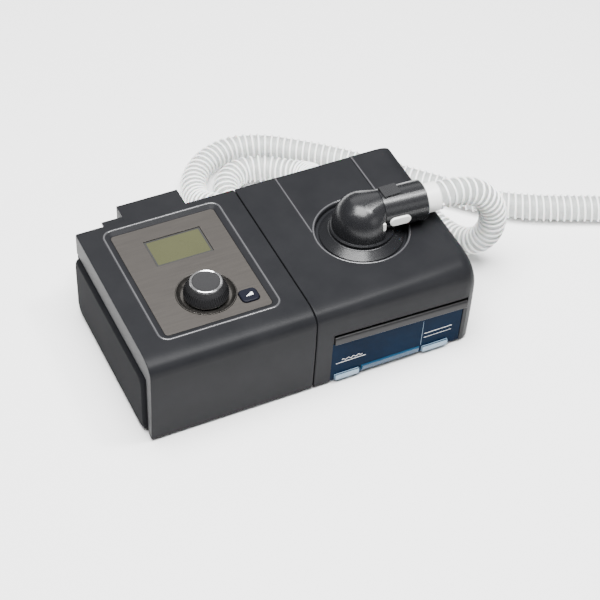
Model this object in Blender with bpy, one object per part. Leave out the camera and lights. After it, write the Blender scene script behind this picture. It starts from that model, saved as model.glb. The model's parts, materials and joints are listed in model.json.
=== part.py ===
"""Bedside airway-pressure ventilator: a blower unit docked to a heated humidifier, with its 22 mm hose.

Metres, +Z up, +X to the humidifier's side, the front faces -Y. The origin is at the middle of the
machine's footprint, at the underside of its rubber feet. One object is one separate physical piece.
"""

import math

import bmesh
import bpy
from mathutils import Matrix, Vector

for old in list(bpy.data.objects):
    bpy.data.objects.remove(old, do_unlink=True)

# ---------------------------------------------------------------- driving sizes
BLOWER_WIDTH = 0.1483  # with the side panel
HUMIDIFIER_WIDTH = 0.1495
SEAM = 0.0006  # between the docked units
COVER_DEPTH = 0.1709  # front bulge to main back edge
TAB_DEPTH = 0.0185  # filter housing behind the back edge
LATCH_PROUD = 0.0010  # latch bar in front of the front bulge
CASE_HEIGHT = 0.0866  # case bottom to case top
FOOT_HEIGHT = 0.003
WALL = 0.0024
GAP = 0.0003  # between pieces that touch
RUNNING = 0.0005  # round a piece that moves

SIDE_BULGE = 0.003  # side panel outside the cover's edge
NOSE_DEPTH = 0.022  # rounded top front edge, along Y
NOSE_HEIGHT = 0.014  # and along Z
NOSE_GROWTH = 0.010  # how much it grows to the humidifier's outer side
NOSE_POWER = 2.6
FRONT_RAKE = 0.0033  # the front leans back by this at its bottom
BACK_ROUND = 0.002
EDGE_ROUND = 0.0012

X_LEFT = -(BLOWER_WIDTH + SEAM + HUMIDIFIER_WIDTH) / 2
X_COVER = X_LEFT + SIDE_BULGE
X_SEAM = X_LEFT + BLOWER_WIDTH
X_HUMID = X_SEAM + SEAM
X_RIGHT = X_HUMID + HUMIDIFIER_WIDTH
Y_FRONT = -(LATCH_PROUD + COVER_DEPTH + TAB_DEPTH) / 2 + LATCH_PROUD
Y_BACK = Y_FRONT + COVER_DEPTH
Y_TAB = Y_BACK + TAB_DEPTH
Z_BOTTOM = FOOT_HEIGHT
Z_TOP = Z_BOTTOM + CASE_HEIGHT
FLOOR = 0.0025
Z_FLOOR = Z_BOTTOM + FLOOR

# ---------------------------------------------------------------- control face
FACE_SIDE_MARGIN = 0.0257  # cover edge to faceplate
FACE_FRONT_MARGIN = 0.0302
FACE_BACK_MARGIN = 0.0147
FACE_SINK = 0.0016  # faceplate below the cover's top
FACE_THICK = 0.002
FACE_CORNER = 0.003
BEVEL_WIDTH = 0.0052  # sloping border round the faceplate
FACE_X0 = X_COVER + FACE_SIDE_MARGIN
FACE_X1 = X_SEAM - FACE_SIDE_MARGIN
FACE_Y0 = Y_FRONT + FACE_FRONT_MARGIN
FACE_Y1 = Y_BACK - FACE_BACK_MARGIN
FACE_Z = Z_TOP - FACE_SINK
LCD_SIZE = (0.0505, 0.032)
LCD_BACK_MARGIN = 0.0165
LCD_X = (FACE_X0 + FACE_X1) / 2 + 0.002
LCD_Y = FACE_Y1 - LCD_BACK_MARGIN - LCD_SIZE[1] / 2
DIAL_X = (FACE_X0 + FACE_X1) / 2 + 0.0015
DIAL_Y = FACE_Y0 + 0.0328
DIAL_DISH_RADIUS = 0.0252
DIAL_SKIRT_RADIUS = 0.0190
DIAL_TOP_RADIUS = 0.0138
DIAL_HEIGHT = 0.0118  # above the case top
DIAL_PRESS = 0.0010
RAMP_SIZE = (0.0155, 0.0145)
RAMP_X = DIAL_X + 0.0310
RAMP_Y = DIAL_Y - 0.0165
RAMP_PROUD = 0.0014
RAMP_PRESS = 0.0008

# ---------------------------------------------------------------- humidifier
DISH_RADIUS = 0.0395  # recess round the swivel elbow
DISH_DEPTH = 0.0046
ELBOW_X = X_HUMID + 0.0783
ELBOW_Y = Y_FRONT + 0.0796
BASE_RADIUS = 0.028  # the elbow's foot
BASE_RISE = 0.0062  # the elbow's foot above the case top
DOME_RADIUS = 0.0262
SLEEVE_RADIUS = 0.0175
SLEEVE_BORE = 0.0136
SLEEVE_CLEAR = 0.0007  # sleeve above the case top
AXIS_Z = Z_TOP + SLEEVE_CLEAR + SLEEVE_RADIUS
SLEEVE_START = 0.0142  # distances from the swivel axis
SLEEVE_END = 0.0544
CUFF_END = 0.0690
CUFF_RADIUS = 0.01275
CUFF_BORE = 0.0106
SLEEVE_ANGLE = math.radians(-3.6)
PILL_SIZE = (0.019, 0.0085)
PILL_PROUD = 0.0012
PILL_PRESS = 0.0008
DOOR_SIDE = 0.0155  # case edge to door, at the seam side
DOOR_OUTER_SIDE = 0.0110  # and at the outer side
DOOR_TOP = 0.0460  # above the case bottom
DOOR_THICK = 0.0025
BAR_HEIGHT = 0.0078
BAR_LIFT = 0.0025
SLOT_HEIGHT = 0.0032  # dark slot over the bar
PORT_RADIUS = 0.0110  # air port through the seam
PORT_Y = Y_BACK - 0.035
PORT_Z = Z_BOTTOM + 0.044

# ---------------------------------------------------------------- hose
HOSE_RADIUS = 0.0128
HOSE_REST = HOSE_RADIUS + 0.0002  # centreline height where it lies
SPACING = 0.0225
HOSE_ROUTE = [  # after two points in line with the cuff
    (0.1850, -0.0208, 0.1000),
    (0.2030, -0.0205, 0.0760),
    (0.2060, -0.0175, 0.0480),
    (0.2000, -0.0070, 0.0265),
    (0.1910, 0.0120, 0.0158),
    (0.1845, 0.0360, HOSE_REST),
    (0.1770, 0.0640, HOSE_REST),
    (0.1610, 0.0880, HOSE_REST),
    (0.1330, 0.0985, HOSE_REST),
    (0.0900, 0.0935, HOSE_REST),
    (0.0530, 0.0925, HOSE_REST),
    (0.0335, 0.1050, HOSE_REST),
    (0.0245, 0.1270, HOSE_REST),
    (0.0250, 0.1520, HOSE_REST),
    (0.0350, 0.1700, HOSE_REST),
    (0.0520, 0.1772, HOSE_REST),
    (0.0705, 0.1725, HOSE_REST),
    (0.0865, 0.1600, HOSE_REST + 0.0010),
    (0.0990, 0.1430, HOSE_REST + 0.0070),
    (0.1000, 0.1230, HOSE_REST + 0.0180),
    (0.0890, 0.1040, HOSE_REST + 0.0262),
    (0.0700, 0.0945, HOSE_REST + 0.0275),
    (0.0450, 0.0920, HOSE_REST + 0.0275),
    (0.0210, 0.1010, HOSE_REST + 0.0255),
    (0.0030, 0.1230, HOSE_REST + 0.0165),
    (-0.0030, 0.1520, HOSE_REST + 0.0030),
    (0.0040, 0.1800, HOSE_REST),
    (0.0240, 0.2010, HOSE_REST),
    (0.0520, 0.2100, HOSE_REST),
    (0.0800, 0.2035, HOSE_REST),
    (0.1100, 0.1830, HOSE_REST),
    (0.1480, 0.1500, HOSE_REST),
    (0.2020, 0.0920, HOSE_REST),
    (0.2568, 0.0372, HOSE_REST),
    (0.3378, -0.0038, HOSE_REST),
    (0.4100, -0.0360, HOSE_REST),
    (0.4780, -0.0900, HOSE_REST),
    (0.5040, -0.1600, HOSE_REST),
    (0.4760, -0.2300, HOSE_REST),
    (0.4100, -0.2640, HOSE_REST),
    (0.3400, -0.2640, HOSE_REST),
    (0.2600, -0.2640, HOSE_REST),
]
HOSE_END_AXIS = (-1.0, 0.0, 0.0)

MATERIALS = {
    "case": ((0.050, 0.051, 0.054), 0.42, 0.0),
    "base": ((0.030, 0.031, 0.034), 0.55, 0.0),
    "faceplate": ((0.210, 0.185, 0.165), 0.45, 0.0),
    "bezel": ((0.450, 0.430, 0.410), 0.25, 0.9),
    "chrome": ((0.800, 0.800, 0.810), 0.10, 1.0),
    "dial": ((0.035, 0.035, 0.037), 0.45, 0.0),
    "display": ((0.290, 0.300, 0.190), 0.20, 0.0),
    "window": ((0.700, 0.720, 0.680), 0.05, 0.0),
    "button": ((0.100, 0.105, 0.150), 0.40, 0.0),
    "latch": ((0.130, 0.115, 0.108), 0.40, 0.0),
    "door": ((0.020, 0.080, 0.180), 0.08, 0.0),
    "tank": ((0.300, 0.420, 0.520), 0.08, 0.0),
    "steel": ((0.560, 0.560, 0.570), 0.30, 1.0),
    "aluminium": ((0.680, 0.690, 0.700), 0.35, 1.0),
    "rubber": ((0.040, 0.040, 0.042), 0.85, 0.0),
    "silicone": ((0.620, 0.630, 0.640), 0.60, 0.0),
    "board": ((0.020, 0.130, 0.060), 0.50, 0.0),
    "foam": ((0.060, 0.060, 0.065), 0.95, 0.0),
    "paper": ((0.800, 0.800, 0.790), 0.90, 0.0),
    "white": ((0.820, 0.820, 0.800), 0.45, 0.0),
    "hose": ((0.780, 0.790, 0.770), 0.45, 0.0),
    "inner": ((0.170, 0.170, 0.180), 0.50, 0.0),
}


def material(name):
    found = bpy.data.materials.get(name)
    if found:
        return found
    colour, roughness, metallic = MATERIALS[name]
    made = bpy.data.materials.new(name)
    made.use_nodes = True
    shader = made.node_tree.nodes["Principled BSDF"]
    shader.inputs["Base Color"].default_value = (*colour, 1.0)
    shader.inputs["Roughness"].default_value = roughness
    shader.inputs["Metallic"].default_value = metallic
    made.diffuse_color = (*colour, 1.0)
    return made


# ---------------------------------------------------------------- mesh helpers
def finish(name, bm, finish_name, origin=(0.0, 0.0, 0.0)):
    """A named object whose origin is at the given point, from a bmesh in world coordinates."""
    bmesh.ops.recalc_face_normals(bm, faces=bm.faces)
    mesh = bpy.data.meshes.new(name)
    bm.transform(Matrix.Translation(-Vector(origin)))
    bm.to_mesh(mesh)
    bm.free()
    mesh.shade_smooth()
    mesh.set_sharp_from_angle(angle=math.radians(32))
    made = bpy.data.objects.new(name, mesh)
    made.location = origin
    bpy.context.scene.collection.objects.link(made)
    if finish_name:
        mesh.materials.append(material(finish_name))
    return made


def loft_mesh(loops):
    """Skins equal loops of points into one closed body with flat ends."""
    bm = bmesh.new()
    rings = [[bm.verts.new(point) for point in loop] for loop in loops]
    count = len(rings[0])
    for near, far in zip(rings, rings[1:]):
        for i in range(count):
            j = (i + 1) % count
            bm.faces.new((near[i], near[j], far[j], far[i]))
    bm.faces.new(rings[0])
    bm.faces.new(rings[-1])
    return bm


def loft(name, loops, finish_name, origin=(0.0, 0.0, 0.0)):
    return finish(name, loft_mesh(loops), finish_name, origin)


def box(name, low, high, finish_name, origin=(0.0, 0.0, 0.0)):
    x0, y0, z0 = low
    x1, y1, z1 = high
    lower = [(x0, y0, z0), (x1, y0, z0), (x1, y1, z0), (x0, y1, z0)]
    upper = [(x, y, z1) for x, y, _ in lower]
    return loft(name, [lower, upper], finish_name, origin)


def rounded_rectangle(x0, y0, x1, y1, radius, steps=4):
    """Corner arcs of a rectangle in plan, counter-clockwise."""
    corners = [
        (x1 - radius, y1 - radius, 0),
        (x0 + radius, y1 - radius, 90),
        (x0 + radius, y0 + radius, 180),
        (x1 - radius, y0 + radius, 270),
    ]
    points = []
    for cx, cy, start in corners:
        for i in range(steps + 1):
            a = math.radians(start + 90 * i / steps)
            points.append((cx + radius * math.cos(a), cy + radius * math.sin(a)))
    return points


def plate(name, outline, z0, z1, finish_name, origin=(0.0, 0.0, 0.0)):
    lower = [(x, y, z0) for x, y in outline]
    upper = [(x, y, z1) for x, y in outline]
    return loft(name, [lower, upper], finish_name, origin)


def turned_mesh(profile, steps):
    """Turns a closed (radius, height) profile about +Z; points at radius 0 become poles."""
    bm = bmesh.new()
    columns = []
    poles = {}
    for i in range(steps):
        a = 2 * math.pi * i / steps
        column = []
        for k, (r, z) in enumerate(profile):
            if r < 1e-7:
                if k not in poles:
                    poles[k] = bm.verts.new((0.0, 0.0, z))
                column.append(poles[k])
            else:
                column.append(bm.verts.new((r * math.cos(a), r * math.sin(a), z)))
        columns.append(column)
    count = len(profile)
    for i in range(steps):
        near, far = columns[i], columns[(i + 1) % steps]
        for k in range(count):
            m = (k + 1) % count
            corners = []
            for vertex in (near[k], far[k], far[m], near[m]):
                if vertex not in corners:
                    corners.append(vertex)
            if len(corners) > 2:
                bm.faces.new(corners)
    return bm


def turned(name, profile, place, finish_name, steps=32, axis=(0.0, 0.0, 1.0)):
    """A turned piece: the profile's axis stands at place, along axis."""
    bm = turned_mesh(profile, steps)
    turn = Vector((0.0, 0.0, 1.0)).rotation_difference(Vector(axis)).to_matrix().to_4x4()
    bm.transform(Matrix.Translation(Vector(place)) @ turn)
    return finish(name, bm, finish_name, place)


def disc(radius, z0, z1):
    return [(0.0, z0), (radius, z0), (radius, z1), (0.0, z1)]


def ring(inner, outer, z0, z1):
    return [(inner, z0), (outer, z0), (outer, z1), (inner, z1)]


def helper(made):
    """Marks a cutter or an adder, which is no piece of its own."""
    made.hide_render = True
    made.display_type = "WIRE"
    return made


def shape(target, other, operation):
    modifier = target.modifiers.new(other.name, "BOOLEAN")
    modifier.operation = operation
    modifier.solver = "EXACT"
    modifier.object = helper(other)


def cut(target, *others):
    for other in others:
        shape(target, other, "DIFFERENCE")


def join(target, *others):
    for other in others:
        shape(target, other, "UNION")


# ---------------------------------------------------------------- case outlines
def case_outline(front, back, bottom, top_front, top_back, nose_y, nose_z, steps=8):
    """Side outline (y, z): up the raked front, over the rounded nose, along the top, down the back."""
    nose_centre = (front + nose_y, top_front - nose_z)
    points = []
    for i in range(4):
        t = i / 4
        lean = FRONT_RAKE * (1 - t) ** 1.5
        points.append((front + lean, bottom + t * (nose_centre[1] - bottom)))
    for i in range(steps + 1):
        a = math.pi / 2 * i / steps
        y = nose_centre[0] - nose_y * math.cos(a) ** (2 / NOSE_POWER)
        z = nose_centre[1] + nose_z * math.sin(a) ** (2 / NOSE_POWER)
        points.append((y, z))
    for i in range(3):
        a = math.pi / 4 * i
        y = back - BACK_ROUND + BACK_ROUND * math.sin(a)
        points.append((y, top_back - BACK_ROUND + BACK_ROUND * math.cos(a)))
    points.append((back, bottom))
    return points


def front_face(z):
    """The raked front's y at a height z, below the nose."""
    top = Z_TOP - NOSE_HEIGHT
    return Y_FRONT + FRONT_RAKE * ((top - z) / (top - Z_BOTTOM)) ** 1.5


def blower_loop(x, inset, drop=0.0):
    outline = case_outline(
        Y_FRONT + inset,
        Y_BACK - inset,
        Z_BOTTOM - drop,
        Z_TOP - inset,
        Z_TOP - inset,
        NOSE_DEPTH - inset,
        NOSE_HEIGHT - inset,
    )
    return [(x, y, z) for y, z in outline]


def blower_body(name, inset, x0, x1, drop, round_ends, finish_name):
    """Closed prism of the blower's outline, its ends rounded by EDGE_ROUND where asked."""
    loops = []
    ends = [0.0, 45.0, 90.0] if round_ends else [90.0]
    for degrees in ends:
        a = math.radians(degrees)
        edge = EDGE_ROUND * (1 - math.sin(a))
        loops.append(blower_loop(x0 + EDGE_ROUND * (1 - math.cos(a)) * round_ends, inset + edge, drop))
    for degrees in reversed(ends):
        a = math.radians(degrees)
        edge = EDGE_ROUND * (1 - math.sin(a))
        loops.append(blower_loop(x1 - EDGE_ROUND * (1 - math.cos(a)) * round_ends, inset + edge, drop))
    return loft(name, loops, finish_name)


END_LENGTH = 0.012  # soft outer side of the humidifier
END_FRONT = 0.0065
END_BACK = 0.0022


def humidifier_loop(x, inset, front_in=0.0, back_in=0.0, drop=0.0):
    t = (x - X_HUMID) / HUMIDIFIER_WIDTH
    grow = NOSE_GROWTH * t * t
    outline = case_outline(
        Y_FRONT + inset + front_in,
        Y_BACK - inset - back_in,
        Z_BOTTOM - drop,
        Z_TOP - inset - front_in * 0.8,
        Z_TOP - inset - back_in,
        NOSE_DEPTH + grow - inset,
        NOSE_HEIGHT + grow - inset,
    )
    return [(x, y, z) for y, z in outline]


def humidifier_body(name, inset, drop, finish_name):
    """Closed outline of the humidifier: a small round at the seam, a soft round at its outer side."""
    x0 = X_HUMID + inset
    x1 = X_RIGHT - inset
    loops = []
    if inset == 0.0:
        for degrees in (0.0, 45.0):
            a = math.radians(degrees)
            edge = EDGE_ROUND * (1 - math.sin(a))
            loops.append(humidifier_loop(x0 + EDGE_ROUND * (1 - math.cos(a)), 0.0, edge, edge, drop))
        x0 += EDGE_ROUND
    straight = x1 - END_LENGTH - x0
    for i in range(6):
        loops.append(humidifier_loop(x0 + straight * i / 5, inset, drop=drop))
    for degrees in (25.0, 50.0, 70.0, 90.0):
        a = math.radians(degrees)
        share = 1 - math.cos(a)
        x = x1 - END_LENGTH * (1 - math.sin(a))
        loops.append(humidifier_loop(x, inset, END_FRONT * share, END_BACK * share, drop))
    return loft(name, loops, finish_name)


def gathered(name, parts):
    """One helper object from several that don't touch, for one Boolean."""
    bm = bmesh.new()
    for piece in parts:
        piece.data.transform(piece.matrix_basis)
        bm.from_mesh(piece.data)
        bpy.data.objects.remove(piece, do_unlink=True)
    return finish(name, bm, None)


def frustum(name, outline_low, z0, outline_high, z1, finish_name=None):
    lower = [(x, y, z0) for x, y in outline_low]
    upper = [(x, y, z1) for x, y in outline_high]
    return loft(name, [lower, upper], finish_name)


def swept(name, path, radius, finish_name, sides=20):
    """A round bar along a smooth path of points."""
    loops = []
    up = Vector((0.0, 0.0, 1.0))
    last = len(path) - 1
    for i, point in enumerate(path):
        ahead = Vector(path[min(i + 1, last)]) - Vector(path[max(i - 1, 0)])
        ahead.normalize()
        across = ahead.cross(up)
        if across.length < 0.2:
            across = ahead.cross(Vector((0.0, 1.0, 0.0)))
        across.normalize()
        if loops and across.dot(previous) < 0:
            across = -across
        previous = across
        over = across.cross(ahead)
        loop = []
        for k in range(sides):
            a = 2 * math.pi * k / sides
            loop.append(Vector(point) + radius * (math.cos(a) * across + math.sin(a) * over))
        loops.append(loop)
    return loft(name, loops, finish_name)


def smooth_route(points, spacing):
    """Points at an even spacing on the centripetal curve through the given ones."""
    ends = [2 * Vector(points[0]) - Vector(points[1])]
    ends += [Vector(p) for p in points]
    ends.append(2 * Vector(points[-1]) - Vector(points[-2]))
    fine = []
    for a, b, c, d in zip(ends, ends[1:], ends[2:], ends[3:]):
        t1 = (b - a).length ** 0.5
        t2 = t1 + (c - b).length ** 0.5
        t3 = t2 + (d - c).length ** 0.5
        for i in range(40):
            t = t1 + (t2 - t1) * i / 40
            ab = a * ((t1 - t) / t1) + b * (t / t1)
            bc = b * ((t2 - t) / (t2 - t1)) + c * ((t - t1) / (t2 - t1))
            cd = c * ((t3 - t) / (t3 - t2)) + d * ((t - t2) / (t3 - t2))
            abc = ab * ((t2 - t) / t2) + bc * (t / t2)
            bcd = bc * ((t3 - t) / (t3 - t1)) + cd * ((t - t1) / (t3 - t1))
            fine.append(abc * ((t2 - t) / (t2 - t1)) + bcd * ((t - t1) / (t2 - t1)))
    fine.append(ends[-2])
    lengths = [0.0]
    for near, far in zip(fine, fine[1:]):
        lengths.append(lengths[-1] + (far - near).length)
    count = round(lengths[-1] / spacing)
    route = []
    k = 0
    for i in range(count + 1):
        along = lengths[-1] * i / count
        while k < len(lengths) - 2 and lengths[k + 1] < along:
            k += 1
        share = (along - lengths[k]) / (lengths[k + 1] - lengths[k])
        route.append(fine[k].lerp(fine[k + 1], share))
    return route


def arc(cy, cz, radius, start, end, steps):
    points = []
    for i in range(steps + 1):
        a = math.radians(start + (end - start) * i / steps)
        points.append((cy + radius * math.cos(a), cz + radius * math.sin(a)))
    return points


# ---------------------------------------------------------------- blower casing
PANEL_TOP = Z_BOTTOM + 0.0650
PANEL_FRONT = Y_FRONT + 0.0100
PANEL_GROOVE = 0.0025  # round the panel's outer skin
PANEL_ROUND = 0.0035
TAB_X0 = X_COVER + 0.0440
TAB_X1 = X_COVER + 0.1000
STEP_X0 = X_COVER + 0.0255
STEP_DEPTH = 0.0045
FILTER_BOTTOM = Z_BOTTOM + 0.018
INNER_X0 = X_COVER + WALL
INNER_X1 = X_SEAM - WALL
CARD_X = X_COVER + 0.1240
CARD_Z = Z_BOTTOM + 0.0120
CARD_SIZE = (0.024, 0.032, 0.0021)
CARD_PROUD = 0.003
CARD_TRAVEL = 0.026
INLET_X = X_COVER + 0.0345
INLET_Z = Z_BOTTOM + 0.058
INLET_RADIUS = 0.0056
MOTOR_RADIUS = 0.016
MOTOR_HEIGHT = 0.018
MOUNT_HEIGHT = 0.003
BLOWER_X = X_COVER + 0.0880
BLOWER_Y = Y_FRONT + 0.0790
VOLUTE_RADIUS = 0.036
VOLUTE_HEIGHT = 0.026
VOLUTE_WALL = 0.002
MOTOR_Z = Z_FLOOR + GAP + MOUNT_HEIGHT + GAP
VOLUTE_Z = MOTOR_Z + MOTOR_HEIGHT + GAP
NOZZLE_X = BLOWER_X + 0.0228
NOZZLE_Y = BLOWER_Y + 0.0400
PORT_TALL = VOLUTE_Z + VOLUTE_HEIGHT / 2
PORT_BACK = BLOWER_Y + 0.0620
DUCT_RADIUS = 0.0110
DUCT_BORE = 0.0092
FOOT_RADIUS = 0.006
FOOT_SINK = 0.0010
FOOT_MARGIN = 0.018


def bevelled_opening():
    """The sloping border and the opening for the faceplate."""
    grown = BEVEL_WIDTH + 0.0003
    wide = rounded_rectangle(
        FACE_X0 - grown, FACE_Y0 - grown, FACE_X1 + grown, FACE_Y1 + grown, FACE_CORNER + grown
    )
    snug = rounded_rectangle(
        FACE_X0 - GAP, FACE_Y0 - GAP, FACE_X1 + GAP, FACE_Y1 + GAP, FACE_CORNER + GAP
    )
    lift = FACE_SINK * 0.0003 / BEVEL_WIDTH
    slope = frustum("face_border", snug, FACE_Z, wide, Z_TOP + lift)
    hole = plate("face_hole", snug, Z_TOP - 2 * WALL, FACE_Z + 0.0001, None)
    return slope, hole


def blower_top_cover():
    cover = blower_body("blower_top_cover", 0.0, X_COVER, X_SEAM, 0.0, True, "case")
    hollow = blower_body("cover_hollow", WALL, INNER_X0, INNER_X1, 0.01, False, None)
    back = box(
        "cover_back",
        (INNER_X0, Y_BACK - 2 * WALL, Z_BOTTOM - 0.01),
        (INNER_X1, Y_BACK + 0.01, Z_TOP - WALL),
        None,
    )
    side = box(
        "cover_side",
        (X_COVER - 0.002, PANEL_FRONT, Z_BOTTOM - 0.01),
        (INNER_X0 + 0.001, Y_BACK + 0.01, PANEL_TOP),
        None,
    )
    tab = box("tab_roof", (TAB_X0, Y_BACK - 2 * WALL, Z_TOP - WALL), (TAB_X1, Y_TAB, Z_TOP), None)
    step = box(
        "step_roof",
        (STEP_X0, Y_BACK - 2 * WALL, Z_TOP - WALL),
        (TAB_X0 + 0.001, Y_BACK + STEP_DEPTH, Z_TOP - 0.0002),
        None,
    )
    port = turned(
        "cover_port",
        disc(DUCT_RADIUS + GAP, -0.01, 0.01),
        (X_SEAM, PORT_BACK, PORT_TALL),
        None,
        24,
        (1, 0, 0),
    )
    cut(cover, hollow, back, side)
    join(cover, tab, step)
    cut(cover, *bevelled_opening(), port)


def blower_side_panel():
    """The outer skin bulges from a flange that fills the cover's side opening."""
    y0 = PANEL_FRONT + GAP
    y1 = Y_BACK
    z0 = Z_BOTTOM
    z1 = PANEL_TOP - GAP
    steps = [(INNER_X0, 0.0), (X_COVER + 0.0008, 0.0), (X_COVER + 0.0008, PANEL_GROOVE)]
    for degrees in (0.0, 30.0, 60.0, 90.0):
        a = math.radians(degrees)
        reach = SIDE_BULGE + 0.0008
        steps.append((X_COVER + 0.0008 - reach * math.sin(a), PANEL_GROOVE + PANEL_ROUND * (1 - math.cos(a))))
    del steps[2]
    loops = []
    for x, inset in steps:
        low = z0 + 0.3 * inset
        outline = rounded_rectangle(y0 + inset, low, y1 - 0.6 * inset, z1 - inset, 0.0030 + inset, 3)
        loops.append([(x, y, z) for y, z in outline])
    loft("blower_side_panel", loops, "case")


def foot_places(x0, x1):
    places = []
    for x in (x0 + FOOT_MARGIN, x1 - FOOT_MARGIN):
        for y in (Y_FRONT + FOOT_MARGIN, Y_BACK - FOOT_MARGIN):
            places.append((x, y))
    return places


def foot_recesses(name, x0, x1):
    discs = []
    for x, y in foot_places(x0, x1):
        profile = disc(FOOT_RADIUS + GAP, -0.01, FOOT_SINK)
        discs.append(turned(name + "_disc", profile, (x, y, Z_BOTTOM), None, 24))
    return gathered(name, discs)


def feet(unit, x0, x1):
    for number, (x, y) in enumerate(foot_places(x0, x1), 1):
        top = FOOT_HEIGHT + FOOT_SINK - GAP
        profile = [(0, 0), (FOOT_RADIUS - 0.0006, 0), (FOOT_RADIUS, 0.0006), (FOOT_RADIUS, top), (0, top)]
        turned(f"{unit}_foot_{number}", profile, (x, y, 0), "rubber", 24)


def blower_base():
    """Floor and back wall in one L-shaped shell, with the filter, power and card openings."""
    x0 = INNER_X0 + GAP
    x1 = INNER_X1 - GAP
    y0 = Y_FRONT + FRONT_RAKE + WALL + GAP
    z1 = Z_TOP - WALL - GAP
    outline = [
        (y0, Z_BOTTOM),
        (Y_BACK, Z_BOTTOM),
        (Y_BACK, z1),
        (Y_BACK - WALL, z1),
        (Y_BACK - WALL, Z_FLOOR),
        (y0, Z_FLOOR),
    ]
    base = loft("blower_base", [[(x, y, z) for y, z in outline] for x in (x0, x1)], "base")
    window = box(
        "filter_window",
        (TAB_X0 + 0.004, Y_BACK - 0.01, FILTER_BOTTOM + 0.004),
        (TAB_X1 - 0.004, Y_BACK + 0.01, Z_TOP - 0.009),
        None,
    )
    power = turned(
        "power_hole",
        disc(INLET_RADIUS + GAP, -0.01, 0.01),
        (INLET_X, Y_BACK, INLET_Z),
        None,
        24,
        (0, 1, 0),
    )
    card = box(
        "card_hole",
        (CARD_X - CARD_SIZE[0] / 2 - RUNNING, Y_BACK - 0.01, CARD_Z - RUNNING),
        (CARD_X + CARD_SIZE[0] / 2 + RUNNING, Y_BACK + 0.01, CARD_Z + CARD_SIZE[2] + RUNNING),
        None,
    )
    cut(base, window, power, card, foot_recesses("blower_recesses", x0, x1))
    feet("blower", x0, x1)


def filter_cap():
    """Louvred cap over the two filters, under the roof's tab."""
    x0 = TAB_X0
    x1 = TAB_X1
    z1 = Z_TOP - WALL - GAP
    cap = box("filter_cap", (x0, Y_BACK + GAP, FILTER_BOTTOM), (x1, Y_TAB, z1), "case")
    hollow = box(
        "cap_hollow",
        (x0 + 0.002, Y_BACK - 0.01, FILTER_BOTTOM + 0.002),
        (x1 - 0.002, Y_TAB - 0.002, z1 - 0.002),
        None,
    )
    louvres = []
    count = 6
    pitch = (z1 - FILTER_BOTTOM - 0.014) / count
    for i in range(count):
        z = FILTER_BOTTOM + 0.009 + pitch * i
        low = (x0 + 0.007, Y_TAB - 0.005, z)
        louvres.append(box("louvre", low, (x1 - 0.007, Y_TAB + 0.005, z + 0.0042), None))
    cut(cap, hollow, gathered("cap_louvres", louvres))
    inner = (x0 + 0.002 + GAP, FILTER_BOTTOM + 0.002 + GAP, x1 - 0.002 - GAP, z1 - 0.002 - GAP)
    y = Y_BACK + 0.0010
    for name, thick, finish_name in (("fine_filter", 0.003, "paper"), ("foam_filter", 0.0095, "foam")):
        box(name, (inner[0], y, inner[1]), (inner[2], y + thick, inner[3]), finish_name)
        y += thick + 0.0006


# ---------------------------------------------------------------- control face pieces
LCD_SINK = 0.0007
LCD_THICK = 0.0012
BOARD_THICK = 0.0016
BOARD_TOP = Z_TOP - 0.0190
DISH_FLOOR = FACE_Z - 0.0028
DISH_BOTTOM = FACE_Z - 0.0046
SHAFT_RADIUS = 0.003
SHAFT_BOTTOM = BOARD_TOP + 0.0045
WHEEL_TOP = Z_TOP + DIAL_HEIGHT - 0.0012
ENCODER_SIZE = 0.013
ENCODER_TOP = DISH_BOTTOM - 0.0010


def ramp_outline(grow):
    half_x = RAMP_SIZE[0] / 2 + grow
    half_y = RAMP_SIZE[1] / 2 + grow
    corner = 0.004 + grow
    return rounded_rectangle(RAMP_X - half_x, RAMP_Y - half_y, RAMP_X + half_x, RAMP_Y + half_y, corner)


def lcd_corners(grow):
    x0 = LCD_X - LCD_SIZE[0] / 2 - grow
    x1 = LCD_X + LCD_SIZE[0] / 2 + grow
    return x0, LCD_Y - LCD_SIZE[1] / 2 - grow, x1, LCD_Y + LCD_SIZE[1] / 2 + grow


def faceplate():
    outline = rounded_rectangle(FACE_X0, FACE_Y0, FACE_X1, FACE_Y1, FACE_CORNER)
    face = plate("faceplate", outline, FACE_Z - FACE_THICK, FACE_Z, "faceplate")
    x0, y0, x1, y1 = lcd_corners(GAP)
    low = FACE_Z - 0.01
    high = FACE_Z + 0.01
    cutters = [
        box("lcd_hole", (x0, y0, low), (x1, y1, high), None),
        turned("dial_hole", disc(DIAL_DISH_RADIUS + GAP, low, high), (DIAL_X, DIAL_Y, 0), None, 48),
        plate("ramp_hole", ramp_outline(RUNNING), low, high, None),
    ]
    cut(face, gathered("face_holes", cutters))


def display():
    x0, y0, x1, y1 = lcd_corners(0.0)
    top = FACE_Z - LCD_SINK
    box("lcd_window", (x0, y0, top - LCD_THICK), (x1, y1, top), "window")
    x0, y0, x1, y1 = lcd_corners(0.003)
    top = FACE_Z - FACE_THICK - GAP
    box("lcd_module", (x0, y0, top - 0.0035), (x1, y1, top), "display")


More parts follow.
